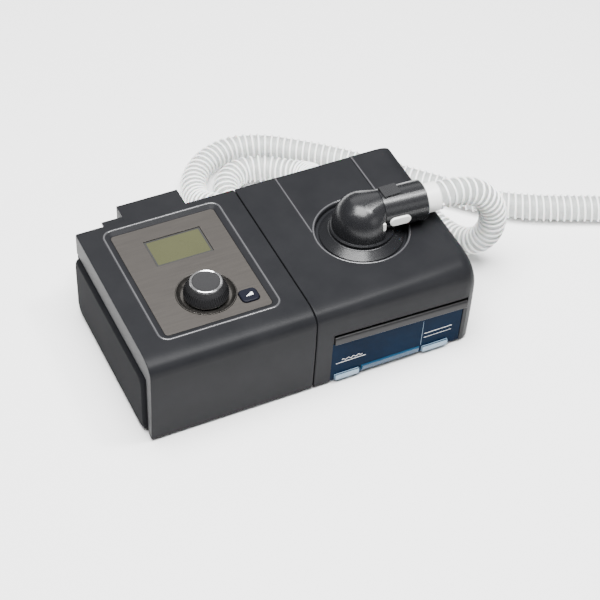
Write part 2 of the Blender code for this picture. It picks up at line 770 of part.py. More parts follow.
def dial():
    """Press-and-turn wheel in its dished bezel."""
    place = (DIAL_X, DIAL_Y, 0.0)
    rim = DIAL_DISH_RADIUS
    bore = DIAL_SKIRT_RADIUS - 0.0014
    bezel = [(bore, DISH_BOTTOM), (rim, DISH_BOTTOM), (rim, FACE_Z + 0.0004)]
    for i in range(5):
        t = i / 4
        bezel.append((rim - 0.0006 - 0.0042 * t, FACE_Z + 0.0004 - (FACE_Z - DISH_FLOOR + 0.0004) * t * (2 - t)))
    bezel.append((bore, DISH_FLOOR))
    turned("dial_bezel", bezel, place, "bezel", 48)
    skirt = FACE_Z - 0.0010
    bore = SHAFT_RADIUS + 0.00006
    wheel = [
        (bore, skirt + 0.002),
        (0.0060, skirt + 0.002),
        (0.0060, skirt + 0.010),
        (DIAL_SKIRT_RADIUS - 0.0028, skirt + 0.006),
        (DIAL_SKIRT_RADIUS - 0.0022, skirt),
        (DIAL_SKIRT_RADIUS - 0.0006, skirt),
        (DIAL_SKIRT_RADIUS, skirt + 0.0010),
        (DIAL_SKIRT_RADIUS - 0.0002, skirt + 0.0030),
        (DIAL_TOP_RADIUS + 0.0016, WHEEL_TOP - 0.0035),
        (DIAL_TOP_RADIUS + 0.0002, WHEEL_TOP),
        (0.0, WHEEL_TOP),
        (0.0, WHEEL_TOP - 0.0024),
        (bore, WHEEL_TOP - 0.0024),
    ]
    turned("control_wheel", wheel, place, "dial", 48)
    low = WHEEL_TOP + GAP
    trim = [
        (DIAL_TOP_RADIUS - 0.0020, low),
        (DIAL_TOP_RADIUS - 0.0002, low),
        (DIAL_TOP_RADIUS, low + 0.0004),
        (DIAL_TOP_RADIUS - 0.0004, low + 0.0010),
        (DIAL_TOP_RADIUS - 0.0010, low + 0.0012),
        (DIAL_TOP_RADIUS - 0.0020, low + 0.0009),
    ]
    turned("wheel_trim_ring", trim, place, "chrome", 48)
    cap_edge = DIAL_TOP_RADIUS - 0.0020 - GAP
    cap = [(0, low), (cap_edge, low), (cap_edge, low + 0.0008), (cap_edge * 0.8, low + 0.0005), (0, low + 0.0004)]
    turned("wheel_cap", cap, place, "dial", 48)
    turned("encoder_shaft", disc(SHAFT_RADIUS, SHAFT_BOTTOM, WHEEL_TOP - 0.0024 - GAP), place, "steel", 24)
    half = ENCODER_SIZE / 2
    low = (DIAL_X - half, DIAL_Y - half, BOARD_TOP + GAP)
    body = box("encoder_body", low, (DIAL_X + half, DIAL_Y + half, ENCODER_TOP), "inner")
    hole = turned("encoder_bore", disc(SHAFT_RADIUS + 0.00006, BOARD_TOP - 0.01, ENCODER_TOP + 0.01), place, None, 24)
    cut(body, hole)


def ramp_button():
    z0 = BOARD_TOP + RAMP_PRESS + 0.0005
    z1 = FACE_Z + RAMP_PROUD
    outline = ramp_outline(0.0)
    top = ramp_outline(-0.0008)
    loops = [
        [(x, y, FACE_Z - 0.0035) for x, y in outline],
        [(x, y, z1 - 0.0007) for x, y in outline],
        [(x, y, z1) for x, y in top],
    ]
    button = loft("ramp_button", loops, "button", (RAMP_X, RAMP_Y, FACE_Z))
    stem = turned("ramp_stem", disc(0.002, z0, FACE_Z - 0.002), (RAMP_X, RAMP_Y, 0), None, 16)
    join(button, stem)


def boards():
    margin = 0.002
    low = (FACE_X0 - margin, FACE_Y0 - margin, BOARD_TOP - BOARD_THICK)
    box("control_board", low, (FACE_X1 + margin, FACE_Y1 + margin, BOARD_TOP), "board")
    x0 = INNER_X0 + 0.004
    x1 = BLOWER_X - VOLUTE_RADIUS - 0.004
    y0 = Y_FRONT + 0.016
    y1 = Y_BACK - WALL - 0.006
    z0 = Z_FLOOR + 0.004
    board = box("main_board", (x0, y0, z0), (x1, y1, z0 + BOARD_THICK), "board")
    parts = []
    tall = z0 + BOARD_THICK
    for i in range(3):
        place = (x0 + 0.012, y0 + 0.016 + 0.018 * i, 0)
        parts.append(turned("capacitor", disc(0.0055, tall - 0.0005, tall + 0.017), place, None, 16))
    low = (x1 - 0.016, y0 + 0.010, tall - 0.0005)
    parts.append(box("coil", low, (x1 - 0.003, y0 + 0.030, tall + 0.011), None))
    low = (x0 + 0.004, y1 - 0.040, tall - 0.0005)
    parts.append(box("heat_sink", low, (x1 - 0.005, y1 - 0.018, tall + 0.020), None))
    join(board, gathered("main_board_parts", parts))


def rear_sockets():
    depth = 0.014
    jack = [
        (0.0, -depth),
        (INLET_RADIUS, -depth),
        (INLET_RADIUS, STEP_DEPTH - 0.0010),
        (INLET_RADIUS - 0.0018, STEP_DEPTH - 0.0010),
        (INLET_RADIUS - 0.0018, 0.0035 - depth),
        (0.0011, 0.0035 - depth),
        (0.0011, -0.0010),
        (0.0, -0.0006),
    ]
    turned("dc_inlet", jack, (INLET_X, Y_BACK, INLET_Z), "inner", 24, (0, 1, 0))
    wide, long, thick = CARD_SIZE
    y1 = Y_BACK + CARD_PROUD
    low = (CARD_X - wide / 2, y1 - long, CARD_Z)
    high = (CARD_X + wide / 2, y1, CARD_Z + thick)
    box("memory_card", low, high, "base", (CARD_X, y1, CARD_Z))
    wall = 0.0015
    low = (low[0] - RUNNING - wall, low[1] - wall - RUNNING, CARD_Z - RUNNING - wall)
    high = (high[0] + RUNNING + wall, Y_BACK - WALL - GAP, high[2] + RUNNING + wall)
    socket = box("card_socket", low, high, "steel")
    low = (low[0] + wall, low[1] + wall, low[2] + wall)
    slot = box("card_slot", low, (high[0] - wall, Y_BACK, high[2] - wall), None)
    cut(socket, slot)


# ---------------------------------------------------------------- blower motor and air path
def blower_motor():
    place = (BLOWER_X, BLOWER_Y, 0.0)
    bore = 0.00156
    mount = ring(MOTOR_RADIUS - 0.004, MOTOR_RADIUS + 0.004, Z_FLOOR + GAP, Z_FLOOR + GAP + MOUNT_HEIGHT)
    turned("blower_mount", mount, place, "silicone", 32)
    top = MOTOR_Z + MOTOR_HEIGHT
    motor = [(bore, MOTOR_Z), (MOTOR_RADIUS, MOTOR_Z), (MOTOR_RADIUS, top - 0.002), (MOTOR_RADIUS - 0.002, top)]
    motor.append((bore, top))
    turned("blower_motor", motor, place, "steel", 32)
    floor = VOLUTE_Z + VOLUTE_WALL
    lid_low = VOLUTE_Z + VOLUTE_HEIGHT - VOLUTE_WALL
    outer = VOLUTE_RADIUS
    cup = [(0.003, VOLUTE_Z), (outer, VOLUTE_Z), (outer, lid_low - GAP), (outer - VOLUTE_WALL, lid_low - GAP)]
    cup += [(outer - VOLUTE_WALL, floor), (0.003, floor)]
    volute = turned("blower_volute", cup, place, "inner", 40)
    along = (0, 1, 0)
    middle = (NOZZLE_X, BLOWER_Y, PORT_TALL)
    nozzle = turned("nozzle", disc(DUCT_RADIUS, 0.0117, NOZZLE_Y - BLOWER_Y), middle, None, 22, along)
    keep_out = turned("volute_core", disc(outer - VOLUTE_WALL, floor, lid_low), place, None, 40)
    bore_cut = turned("nozzle_bore", disc(DUCT_BORE, 0.005, 0.06), middle, None, 22, along)
    join(volute, nozzle)
    cut(volute, keep_out, bore_cut)
    lid = [(0.0135, lid_low), (outer, lid_low), (outer, lid_low + VOLUTE_WALL), (0.0155, lid_low + VOLUTE_WALL)]
    lid += [(0.0155, lid_low + 0.005), (0.0135, lid_low + 0.005)]
    turned("volute_cover", lid, place, "inner", 40)
    hub = [(0.0, MOTOR_Z + 0.001), (0.0015, MOTOR_Z + 0.001), (0.0015, floor + 0.002), (0.029, floor + 0.002)]
    hub += [(0.029, floor + 0.0035), (0.006, floor + 0.0045), (0.005, floor + 0.014), (0.0, floor + 0.014)]
    impeller = turned("impeller", hub, place, "white", 40)
    blades = []
    for i in range(9):
        blade = box("blade", (0.009, -0.0006, floor + 0.003), (0.028, 0.0006, floor + 0.015), None)
        blade.data.transform(Matrix.Rotation(math.radians(-35), 4, Vector((0, 0, 1))) )
        blade.data.transform(Matrix.Rotation(math.radians(40 * i), 4, Vector((0, 0, 1))))
        blade.data.transform(Matrix.Translation(Vector(place)))
        blades.append(blade)
    join(impeller, gathered("impeller_blades", blades))


def quarter_turn(start, corner, end, radius, steps=7):
    """A path from start to end, rounding the corner with the given radius."""
    a, c, b = Vector(start), Vector(corner), Vector(end)
    into = (c - a).normalized()
    out = (b - c).normalized()
    centre = c - into * radius + out * radius
    path = [a]
    for i in range(steps + 1):
        t = math.pi / 2 * i / steps
        path.append(centre - out * radius * math.cos(t) + into * radius * math.sin(t))
    path.append(b)
    return path


def air_duct():
    start = (NOZZLE_X, NOZZLE_Y + GAP, PORT_TALL)
    corner = (NOZZLE_X, PORT_BACK, PORT_TALL)
    end = (X_SEAM, PORT_BACK, PORT_TALL)
    bend = 0.0140
    duct = swept("outlet_duct", quarter_turn(start, corner, end, bend), DUCT_RADIUS, "inner", 24)
    start = (NOZZLE_X, NOZZLE_Y - 0.01, PORT_TALL)
    end = (X_SEAM + 0.01, PORT_BACK, PORT_TALL)
    cut(duct, swept("duct_bore", quarter_turn(start, corner, end, bend), DUCT_BORE, None, 24))


# ---------------------------------------------------------------- humidifier casing
DOOR_X0 = X_HUMID + DOOR_SIDE
DOOR_X1 = X_RIGHT - DOOR_OUTER_SIDE
DOOR_Z0 = Z_BOTTOM + 0.0005
DOOR_Z1 = Z_BOTTOM + DOOR_TOP
DROOP = 0.0045  # latch line falls by this to the outer side
BAR_X0 = DOOR_X0 + 0.0012
BAR_X1 = DOOR_X1 + 0.0030
HINGE_Y = Y_FRONT + 0.0078
HINGE_Z = Z_BOTTOM + 0.0042
PIN_RADIUS = 0.0012
KNUCKLE = 0.0024
KNUCKLE_LENGTH = 0.012
LUG_LENGTH = 0.004
OUTER_LUG_LENGTH = 0.0015
CHANNEL_X0 = ELBOW_X - 0.0400
CHANNEL_X1 = ELBOW_X + 0.0340
CHANNEL_DEPTH = 0.0011
DISH_FLOOR_Z = Z_TOP - DISH_DEPTH
SPIGOT_RADIUS = 0.0200
SPRING_RADIUS = 0.0022
SPRING_Y = Y_FRONT + 0.0068
SPRING_TOP = Z_BOTTOM + 0.0700
TANK_X0 = DOOR_X0 + 0.0030
TANK_X1 = DOOR_X1 - 0.0030
TANK_Y0 = Y_FRONT + 0.0108
TANK_Y1 = Y_FRONT + 0.1300
TANK_Z0 = Z_BOTTOM + 0.0110
TANK_Z1 = Z_BOTTOM + 0.0420
LID_TOP = TANK_Z1 + 0.0140
TANK_WALL = 0.0018
CHANNEL_X = X_HUMID + 0.0053
LID_INLET = (Y_FRONT + 0.0990, Y_FRONT + 0.1200, TANK_Z1 + 0.0042, LID_TOP - 0.0030)


def droop(x):
    return DROOP * (x - DOOR_X0) / (DOOR_X1 - DOOR_X0)


def slanted(name, x0, x1, outline, finish_name, origin=(0.0, 0.0, 0.0)):
    """An outline (y, z) drawn from x0 to x1 that follows the latch line's droop."""
    loops = [[(x, y, z - droop(x)) for y, z in outline] for x in (x0, x1)]
    return loft(name, loops, finish_name, origin)


def humidifier_top_case():
    case = humidifier_body("humidifier_top_case", 0.0, 0.0, "case")
    hollow = humidifier_body("humidifier_hollow", WALL, 0.01, None)
    place = (ELBOW_X, ELBOW_Y, 0.0)
    cup = turned("dish_cup", disc(DISH_RADIUS + WALL, DISH_FLOOR_Z - WALL, Z_TOP - 0.0012), place, None, 64)
    dish = [(0.0, DISH_FLOOR_Z), (DISH_RADIUS, DISH_FLOOR_Z), (DISH_RADIUS, Z_TOP - 0.0018)]
    dish += [(DISH_RADIUS + 0.0006, Z_TOP - 0.0008), (DISH_RADIUS + 0.0022, Z_TOP + 0.0002)]
    dish += [(DISH_RADIUS + 0.0022, Z_TOP + 0.004), (0.0, Z_TOP + 0.004)]
    recess = turned("dish_recess", dish, place, None, 64)
    bore = turned("dish_bore", disc(SPIGOT_RADIUS + 0.0045, Z_TOP - 0.02, Z_TOP), place, None, 32)
    y0 = ELBOW_Y + DISH_RADIUS * 0.6
    wide = 0.0012
    low = rounded_rectangle(CHANNEL_X0 + wide, y0, CHANNEL_X1 - wide, Y_BACK + 0.01, 0.0004, 1)
    high = rounded_rectangle(CHANNEL_X0, y0, CHANNEL_X1, Y_BACK + 0.01, 0.0004, 1)
    channel = frustum("channel", low, Z_TOP - CHANNEL_DEPTH, high, Z_TOP + 0.0001)
    slot_top = DOOR_Z1 + BAR_HEIGHT + SLOT_HEIGHT + GAP
    sill = DOOR_Z1 + 0.001
    reach = [(Y_FRONT - 0.01, Z_BOTTOM - 0.01), (Y_FRONT + 0.012, Z_BOTTOM - 0.01)]
    reach += [(Y_FRONT + 0.012, sill), (Y_FRONT - 0.01, sill)]
    front = [(x, y, z - (droop(x) if z > Z_BOTTOM else 0)) for x in (DOOR_X0 - GAP, DOOR_X1 + GAP) for y, z in reach]
    opening = loft("door_opening", [front[:4], front[4:]], None)
    reach = [(Y_FRONT - 0.01, DOOR_Z1), (Y_FRONT + 0.012, DOOR_Z1)]
    reach += [(Y_FRONT + 0.012, slot_top), (Y_FRONT - 0.01, slot_top)]
    bar_slot = slanted("bar_slot", BAR_X0 - 0.0008, BAR_X1 + 0.0008, reach, None)
    port = turned("case_port", disc(DUCT_RADIUS + GAP, -0.01, 0.01), (X_HUMID, PORT_BACK, PORT_TALL), None, 24, (1, 0, 0))
    shelves = []
    for x in spring_places():
        low = (x - 0.004, Y_FRONT + 0.0008, SPRING_TOP + GAP)
        shelves.append(box("spring_shelf", low, (x + 0.004, SPRING_Y + 0.003, SPRING_TOP + 0.002), None))
    cut(case, hollow)
    join(case, cup, gathered("spring_shelves", shelves))
    cut(case, channel, recess, bore, opening, bar_slot, port)


def spring_places():
    third = (BAR_X1 - BAR_X0) / 3
    return (BAR_X0 + third, BAR_X1 - third)


def humidifier_base():
    """Floor with the hinge lugs; notched behind the door's lower edge."""
    x0 = X_HUMID + WALL + GAP
    x1 = X_RIGHT - WALL - GAP - 0.003
    y0 = Y_FRONT + FRONT_RAKE + WALL + GAP
    y1 = Y_BACK - WALL - GAP
    front = [(x0, y0)]
    back = [(x0, y1)]
    for degrees in (0.0, 25.0, 50.0, 70.0, 90.0):
        a = math.radians(degrees)
        x = X_RIGHT - WALL - GAP - END_LENGTH * (1 - math.sin(a))
        front.append((x, y0 + END_FRONT * (1 - math.cos(a))))
        back.append((x, y1 - END_BACK * (1 - math.cos(a))))
    base = plate("humidifier_base", front + back[::-1], Z_BOTTOM, Z_FLOOR, "base")
    clear = RUNNING
    low = (DOOR_X0 - clear, Y_FRONT - 0.01, Z_BOTTOM - 0.01)
    notch = box("door_notch", low, (DOOR_X1 + clear, HINGE_Y + 0.0048, Z_BOTTOM + 0.01), None)
    lugs = []
    bores = []
    for x, length in ((DOOR_X0 - clear - LUG_LENGTH, LUG_LENGTH), (DOOR_X1 + clear, OUTER_LUG_LENGTH)):
        low = (x, HINGE_Y - 0.0020, Z_BOTTOM)
        lugs.append(box("lug", low, (x + length, HINGE_Y + 0.006, HINGE_Z + 0.003), None))
        place = (x + length / 2, HINGE_Y, HINGE_Z)
        bores.append(turned("lug_bore", disc(PIN_RADIUS + 0.00008, -0.01, 0.01), place, None, 16, (1, 0, 0)))
    join(base, gathered("lugs", lugs))
    cut(base, notch, gathered("lug_bores", bores), foot_recesses("humidifier_recesses", x0, x1))
    feet("humidifier", x0, x1)


def tank_door():
    """Clear door that tips down on two pins; its face follows the raked front."""
    sink = 0.0006
    outer = []
    inner = []
    for i in range(6):
        z = DOOR_Z0 + (DOOR_Z1 - GAP - DOOR_Z0) * i / 5
        y = front_face(z) + sink
        outer.append((y, z))
        inner.append((y + DOOR_THICK, z))
    outline = outer + inner[::-1]
    loops = []
    for x in (DOOR_X0, DOOR_X1):
        loops.append([(x, y, z - (droop(x) if z > DOOR_Z1 - 0.001 else 0)) for y, z in outline])
    door = loft("tank_door", loops, "door", (ELBOW_X, HINGE_Y, HINGE_Z))
    adders = []
    bores = []
    for x, side in ((DOOR_X0, 1), (DOOR_X1, -1)):
        middle = (x + side * KNUCKLE_LENGTH / 2, HINGE_Y, HINGE_Z)
        half = KNUCKLE_LENGTH / 2
        adders.append(turned("knuckle", disc(KNUCKLE, -half, half), middle, None, 16, (1, 0, 0)))
        bores.append(turned("knuckle_bore", disc(PIN_RADIUS + 0.00008, -0.02, 0.02), middle, None, 16, (1, 0, 0)))
    webs = []
    for x, side in ((DOOR_X0, 1), (DOOR_X1, -1)):
        ends = sorted((x + side * 0.0001, x + side * (KNUCKLE_LENGTH - 0.0001)))
        low = (ends[0], Y_FRONT + FRONT_RAKE + sink + 0.001, HINGE_Z - 0.0012)
        webs.append(box("web", low, (ends[1], HINGE_Y, HINGE_Z + 0.0016), None))
    tabs = []
    for x in (DOOR_X0 + 0.0040, DOOR_X1 - 0.0360):
        y = front_face(DOOR_Z0) + sink
        low = (x, y - 0.0018, DOOR_Z0 + 0.0004)
        tabs.append(box("tab", low, (x + 0.024, y + 0.001, DOOR_Z0 + 0.0060), None))
    join(door, gathered("knuckles", adders), gathered("webs", webs), gathered("tabs", tabs))
    cut(door, gathered("knuckle_bores", bores))
    for name, x, half in (("door_pin_left", DOOR_X0, LUG_LENGTH), ("door_pin_right", DOOR_X1, OUTER_LUG_LENGTH + 0.001)):
        turned(name, disc(PIN_RADIUS, -half, half), (x, HINGE_Y, HINGE_Z), "steel", 16, (1, 0, 0))


def latch():
    """Sprung bar that lifts to free the door."""
    front = Y_FRONT - LATCH_PROUD
    z0 = DOOR_Z1 + 0.0002
    z1 = z0 + BAR_HEIGHT
    outline = [
        (front + 0.0004, z0),
        (front + 0.0042, z0),
        (front + 0.0042, z1),
        (front + 0.0014, z1),
        (front + 0.0004, z1 - 0.0010),
        (front, z1 - 0.0024),
        (front, z0 + 0.0008),
    ]
    bar = slanted("latch_bar", BAR_X0, BAR_X1, outline, "latch", (ELBOW_X, Y_FRONT, z0))
    lugs = []
    for number, x in enumerate(spring_places()):
        low_z = z1 - droop(x) - 0.003
        low = (x - 0.004, front + 0.0036, low_z - 0.0015)
        lugs.append(box("bar_lug", low, (x + 0.004, SPRING_Y + 0.003, low_z), None))
        side = ("left", "right")[number]
        coil(f"latch_spring_{side}", (x, SPRING_Y), low_z + GAP, SPRING_TOP)
    join(bar, gathered("bar_lugs", lugs))


def coil(name, place, low, high):
    """Round-wire compression spring standing on low."""
    wire = 0.0003
    turns = 4
    per_turn = 8
    path = []
    for i in range(turns * per_turn + 1):
        a = 2 * math.pi * i / per_turn
        z = low + wire + (high - low - 2 * wire) * i / (turns * per_turn)
        path.append((place[0] + SPRING_RADIUS * math.cos(a), place[1] + SPRING_RADIUS * math.sin(a), z))
    wire_curve(name, path, wire, 0, "steel")


def wire_curve(name, path, radius, resolution, finish_name):
    curve = bpy.data.curves.new(name, "CURVE")
    curve.dimensions = "3D"
    curve.bevel_depth = radius
    curve.bevel_resolution = resolution
    curve.use_fill_caps = True
    spline = curve.splines.new("POLY")
    spline.points.add(len(path) - 1)
    for point, place in zip(spline.points, path):
        point.co = (*place, 1.0)
    curve.materials.append(material(finish_name))
    made = bpy.data.objects.new(name, curve)
    bpy.context.scene.collection.objects.link(made)
    return made


# ---------------------------------------------------------------- water tank and heater
def water_tank():
    corner = 0.008
    wall = TANK_WALL
    grown = {}
    for key, grow in (("outer", 0.0), ("inner", -wall), ("lip", -wall - 0.003)):
        grown[key] = rounded_rectangle(
            TANK_X0 - grow, TANK_Y0 - grow, TANK_X1 + grow, TANK_Y1 + grow, corner + grow
        )
    chamber = plate("tank_chamber", grown["outer"], TANK_Z0, TANK_Z1, "tank")
    hollow = plate("tank_hollow", grown["inner"], TANK_Z0 + wall, TANK_Z1 + 0.01, None)
    heat_place = ((TANK_X0 + TANK_X1) / 2, (TANK_Y0 + TANK_Y1) / 2, 0)
    opening = turned("plate_opening", disc(0.046, TANK_Z0 - 0.01, TANK_Z0 + 0.01), heat_place, None, 40)
    cut(chamber, hollow, opening)
    metal = [(0, TANK_Z0), (0.0457, TANK_Z0), (0.0457, TANK_Z0 + wall), (0, TANK_Z0 + wall)]
    turned("tank_heat_plate", metal, heat_place, "steel", 40)
    gasket = plate("tank_gasket", grown["outer"], TANK_Z1 + GAP, TANK_Z1 + 0.0020, "silicone")
    cut(gasket, plate("gasket_hollow", grown["lip"], TANK_Z1 - 0.01, TANK_Z1 + 0.01, None))
    lid_bottom = TANK_Z1 + 0.0020 + GAP
    lid = plate("tank_lid", grown["outer"], lid_bottom, LID_TOP, "inner")
    lid_hollow = plate("lid_hollow", grown["inner"], lid_bottom - 0.01, LID_TOP - wall, None)
    outlet = turned("lid_outlet", disc(SPIGOT_RADIUS - 0.003, LID_TOP - 0.02, LID_TOP + 0.02), (ELBOW_X, ELBOW_Y, 0), None, 32)
    low = (TANK_X0 - 0.005, LID_INLET[0], LID_INLET[2])
    inlet = box("lid_inlet", low, (TANK_X0 + 0.005, LID_INLET[1], LID_INLET[3]), None)
    cut(lid, lid_hollow, outlet, inlet)
    heater_top = TANK_Z0 - GAP
    heater_low = heater_top - 0.0030
    turned("heater_plate", disc(0.044, heater_low, heater_top), heat_place, "aluminium", 40)
    spring = ring(0.030, 0.036, Z_FLOOR + GAP, heater_low - GAP)
    turned("heater_insulator", spring, heat_place, "silicone", 32)


def inlet_duct():
    """Flat air channel from the docking port up to the side of the tank lid."""
    low = (X_SEAM + GAP, PORT_BACK, PORT_TALL)
    seal = ring(DUCT_BORE, DUCT_RADIUS, 0.0, CHANNEL_X - GAP - low[0])
    turned("dock_seal", seal, low, "silicone", 24, (1, 0, 0))
    wall = 0.0015
    y0, y1 = LID_INLET[0] - 0.003, PORT_BACK + DUCT_RADIUS + 0.002
    z0, z1 = PORT_TALL - DUCT_RADIUS - 0.002, LID_TOP
    x1 = TANK_X0 - GAP
    duct = box("inlet_duct", (CHANNEL_X, y0, z0), (x1, y1, z1), "inner")
    hollow = box("inlet_hollow", (CHANNEL_X + wall, y0 + wall, z0 + wall), (x1 - wall, y1 - wall, z1 - wall), None)
    bore = turned("inlet_bore", disc(DUCT_BORE, -0.005, 0.004), (CHANNEL_X, PORT_BACK, PORT_TALL), None, 24, (1, 0, 0))
    window = box("inlet_window", (x1 - 0.004, LID_INLET[0], LID_INLET[2]), (x1 + 0.004, LID_INLET[1], LID_INLET[3]), None)
    cut(duct, hollow, bore, window)


# ---------------------------------------------------------------- swivel elbow
def along_axis(distance, z=AXIS_Z):
    return Vector(
        (
            ELBOW_X + distance * math.cos(SLEEVE_ANGLE),
            ELBOW_Y + distance * math.sin(SLEEVE_ANGLE),
            z,
        )
    )


AXIS = (math.cos(SLEEVE_ANGLE), math.sin(SLEEVE_ANGLE), 0.0)
FOOT_Z = Z_TOP + BASE_RISE
MARK_FACE = SLEEVE_RADIUS + 0.0042  # outer face of the alignment mark, from the sleeve's axis


def swivel_collar():
    """Fixed ring that the elbow turns in, sloping from the dish up to the elbow's foot."""
    place = (ELBOW_X, ELBOW_Y, 0.0)
    low = DISH_FLOOR_Z + GAP
    bore = SPIGOT_RADIUS + 0.0003
    top = FOOT_Z - 0.0035
    profile = [
        (bore, DISH_FLOOR_Z - 0.008),
        (bore + 0.0038, DISH_FLOOR_Z - 0.008),
        (bore + 0.0038, low),
        (DISH_RADIUS - 0.0030, low),
        (DISH_RADIUS - 0.0030, low + 0.0012),
        (BASE_RADIUS + 0.0020, top - 0.0010),
        (BASE_RADIUS + 0.0010, top),
        (bore, top),
    ]
    turned("swivel_collar", profile, place, "case", 64)


def outlet_elbow():
    """Dome over the outlet, cut square where the sleeve starts, hollow for the air."""
    place = (ELBOW_X, ELBOW_Y, 0.0)
    top = AXIS_Z + SLEEVE_RADIUS
    rise = top - FOOT_Z
    points = []
    for i in range(7):
        a = math.radians(90 * i / 7)
        radius = DOME_RADIUS * math.cos(a) ** 0.8
        z = FOOT_Z - 0.0006 + rise * math.sin(a)
        reach = min(radius, DOME_RADIUS)
        for k in range(32):
            b = 2 * math.pi * k / 32
            x = reach * math.cos(b)
            y = reach * math.sin(b)
            if x * AXIS[0] + y * AXIS[1] < SLEEVE_START:
                points.append((ELBOW_X + x, ELBOW_Y + y, z))
    centre = along_axis(SLEEVE_START)
    side = Vector((-AXIS[1], AXIS[0], 0.0))
    for k in range(32):
        b = 2 * math.pi * k / 32
        points.append(centre + SLEEVE_RADIUS * (math.cos(b) * side + math.sin(b) * Vector((0, 0, 1))))
    bm = bmesh.new()
    for point in points:
        bm.verts.new(point)
    hull = bmesh.ops.convex_hull(bm, input=bm.verts)
    loose = [v for v in hull["geom_interior"] if isinstance(v, bmesh.types.BMVert)]
    bmesh.ops.delete(bm, geom=loose, context="VERTS")
    elbow = finish("outlet_elbow", bm, "case", place)
    low = FOOT_Z - 0.0032
    foot = [(0, low - 0.020), (SPIGOT_RADIUS, low - 0.020), (SPIGOT_RADIUS, low), (BASE_RADIUS - 0.0008, low)]
    foot += [(BASE_RADIUS, low + 0.0008), (BASE_RADIUS, FOOT_Z - 0.0010), (BASE_RADIUS - 0.0010, FOOT_Z), (0, FOOT_Z)]
    join(elbow, turned("elbow_foot", foot, place, None, 64))
    riser = turned("elbow_riser", disc(SLEEVE_BORE, low - 0.03, AXIS_Z), place, None, 32)
    outlet = turned("elbow_outlet", disc(SLEEVE_BORE, 0.0, 0.05), (ELBOW_X, ELBOW_Y, AXIS_Z), None, 32, AXIS)
    cut(elbow, riser, outlet)
    groove = turned("seal_groove", ring(SPIGOT_RADIUS - 0.0016, SPIGOT_RADIUS + 0.01, low - 0.0125, low - 0.0095), place, None, 48)
    pocket = loft("mark_pocket", mark_loops(GAP, (SLEEVE_RADIUS + 0.0002, MARK_FACE + 0.01)), None)
    cut(elbow, groove, pocket)
    seal = ring(SPIGOT_RADIUS - 0.0016 + GAP, SPIGOT_RADIUS + 0.0001, low - 0.0122, low - 0.0098)
    turned("elbow_seal", seal, place, "rubber", 48)


def pill_loops(center, grow, depths):
    """Rounded-end outline on the sleeve's front, as loops from inside to outside."""
    loops = []
    half = PILL_SIZE[0] / 2 + grow
    end = PILL_SIZE[1] / 2 + grow
    out = Vector((math.sin(SLEEVE_ANGLE), -math.cos(SLEEVE_ANGLE), 0.0))
    for depth, pinch in depths:
        loop = []
        for u, v in rounded_rectangle(-half + pinch, -end + pinch, half - pinch, end - pinch, end - pinch - 1e-5, 6):
            loop.append(center + Vector(AXIS) * u + Vector((0, 0, v)) + out * depth)
        loops.append(loop)
    return loops


def outlet_sleeve():
    start = SLEEVE_START + GAP
    place = tuple(along_axis(0.0))
    outer = SLEEVE_RADIUS
    profile = [(SLEEVE_BORE, start), (outer - 0.0004, start), (outer, start + 0.0004), (outer, SLEEVE_END - 0.0010)]
    profile += [(outer - 0.0010, SLEEVE_END), (SLEEVE_BORE, SLEEVE_END)]
    sleeve = turned("outlet_sleeve", profile, place, "case", 48, AXIS)
    middle = along_axis(SLEEVE_START + 0.0100)
    half = 0.0078
    low = middle + Vector((-half, -0.0055, SLEEVE_RADIUS - 0.0040))
    ridge = box("sleeve_tab", low, middle + Vector((half, 0.0075, SLEEVE_RADIUS + 0.0014)), None)
    center = along_axis(SLEEVE_START + 0.0035 + PILL_SIZE[0] / 2, AXIS_Z - 0.0010)
    well = loft("pill_well", pill_loops(center, RUNNING, [(outer - 0.0026, 0.0), (outer + 0.005, 0.0)]), None)
    side = DISH_RADIUS - 0.0030 + RUNNING
    slope = DISH_FLOOR_Z + GAP + 0.0012 + RUNNING
    inner = BASE_RADIUS + GAP
    notch = [(0, Z_TOP - 0.02), (side, Z_TOP - 0.02), (side, slope), (BASE_RADIUS + 0.0024, FOOT_Z - 0.0040)]
    notch += [(BASE_RADIUS + 0.0012, FOOT_Z - 0.0030), (inner, FOOT_Z - 0.0030), (inner, FOOT_Z + GAP), (0, FOOT_Z + GAP)]
    foot_room = turned("foot_room", notch, (ELBOW_X, ELBOW_Y, 0.0), None, 64)
    join(sleeve, ridge)
    cut(sleeve, well, foot_room)
    top = outer + PILL_PROUD
    bottom = outer - 0.0026 + PILL_PRESS + 0.0003
    depths = [(bottom, 0.0), (top - 0.0005, 0.0), (top, 0.0006)]
    loft("release_button", pill_loops(center, 0.0, depths), "white", tuple(center))


def mark_loops(grow, depths):
    out = Vector((math.sin(SLEEVE_ANGLE), -math.cos(SLEEVE_ANGLE), 0.0))
    center = along_axis(SLEEVE_START - 0.0032, AXIS_Z - 0.0010)
    loops = []
    for depth in depths:
        loop = []
        for u, v in rounded_rectangle(-0.0014 - grow, -0.0036 - grow, 0.0014 + grow, 0.0036 + grow, 0.0006 + grow, 2):
            loop.append(center + Vector(AXIS) * u + Vector((0, 0, v)) + out * depth)
        loops.append(loop)
    return loops


def alignment_mark():
    """Small white key let into the elbow beside the joint."""
    loft("alignment_mark", mark_loops(0.0, (SLEEVE_RADIUS + 0.0005, MARK_FACE)), "white")


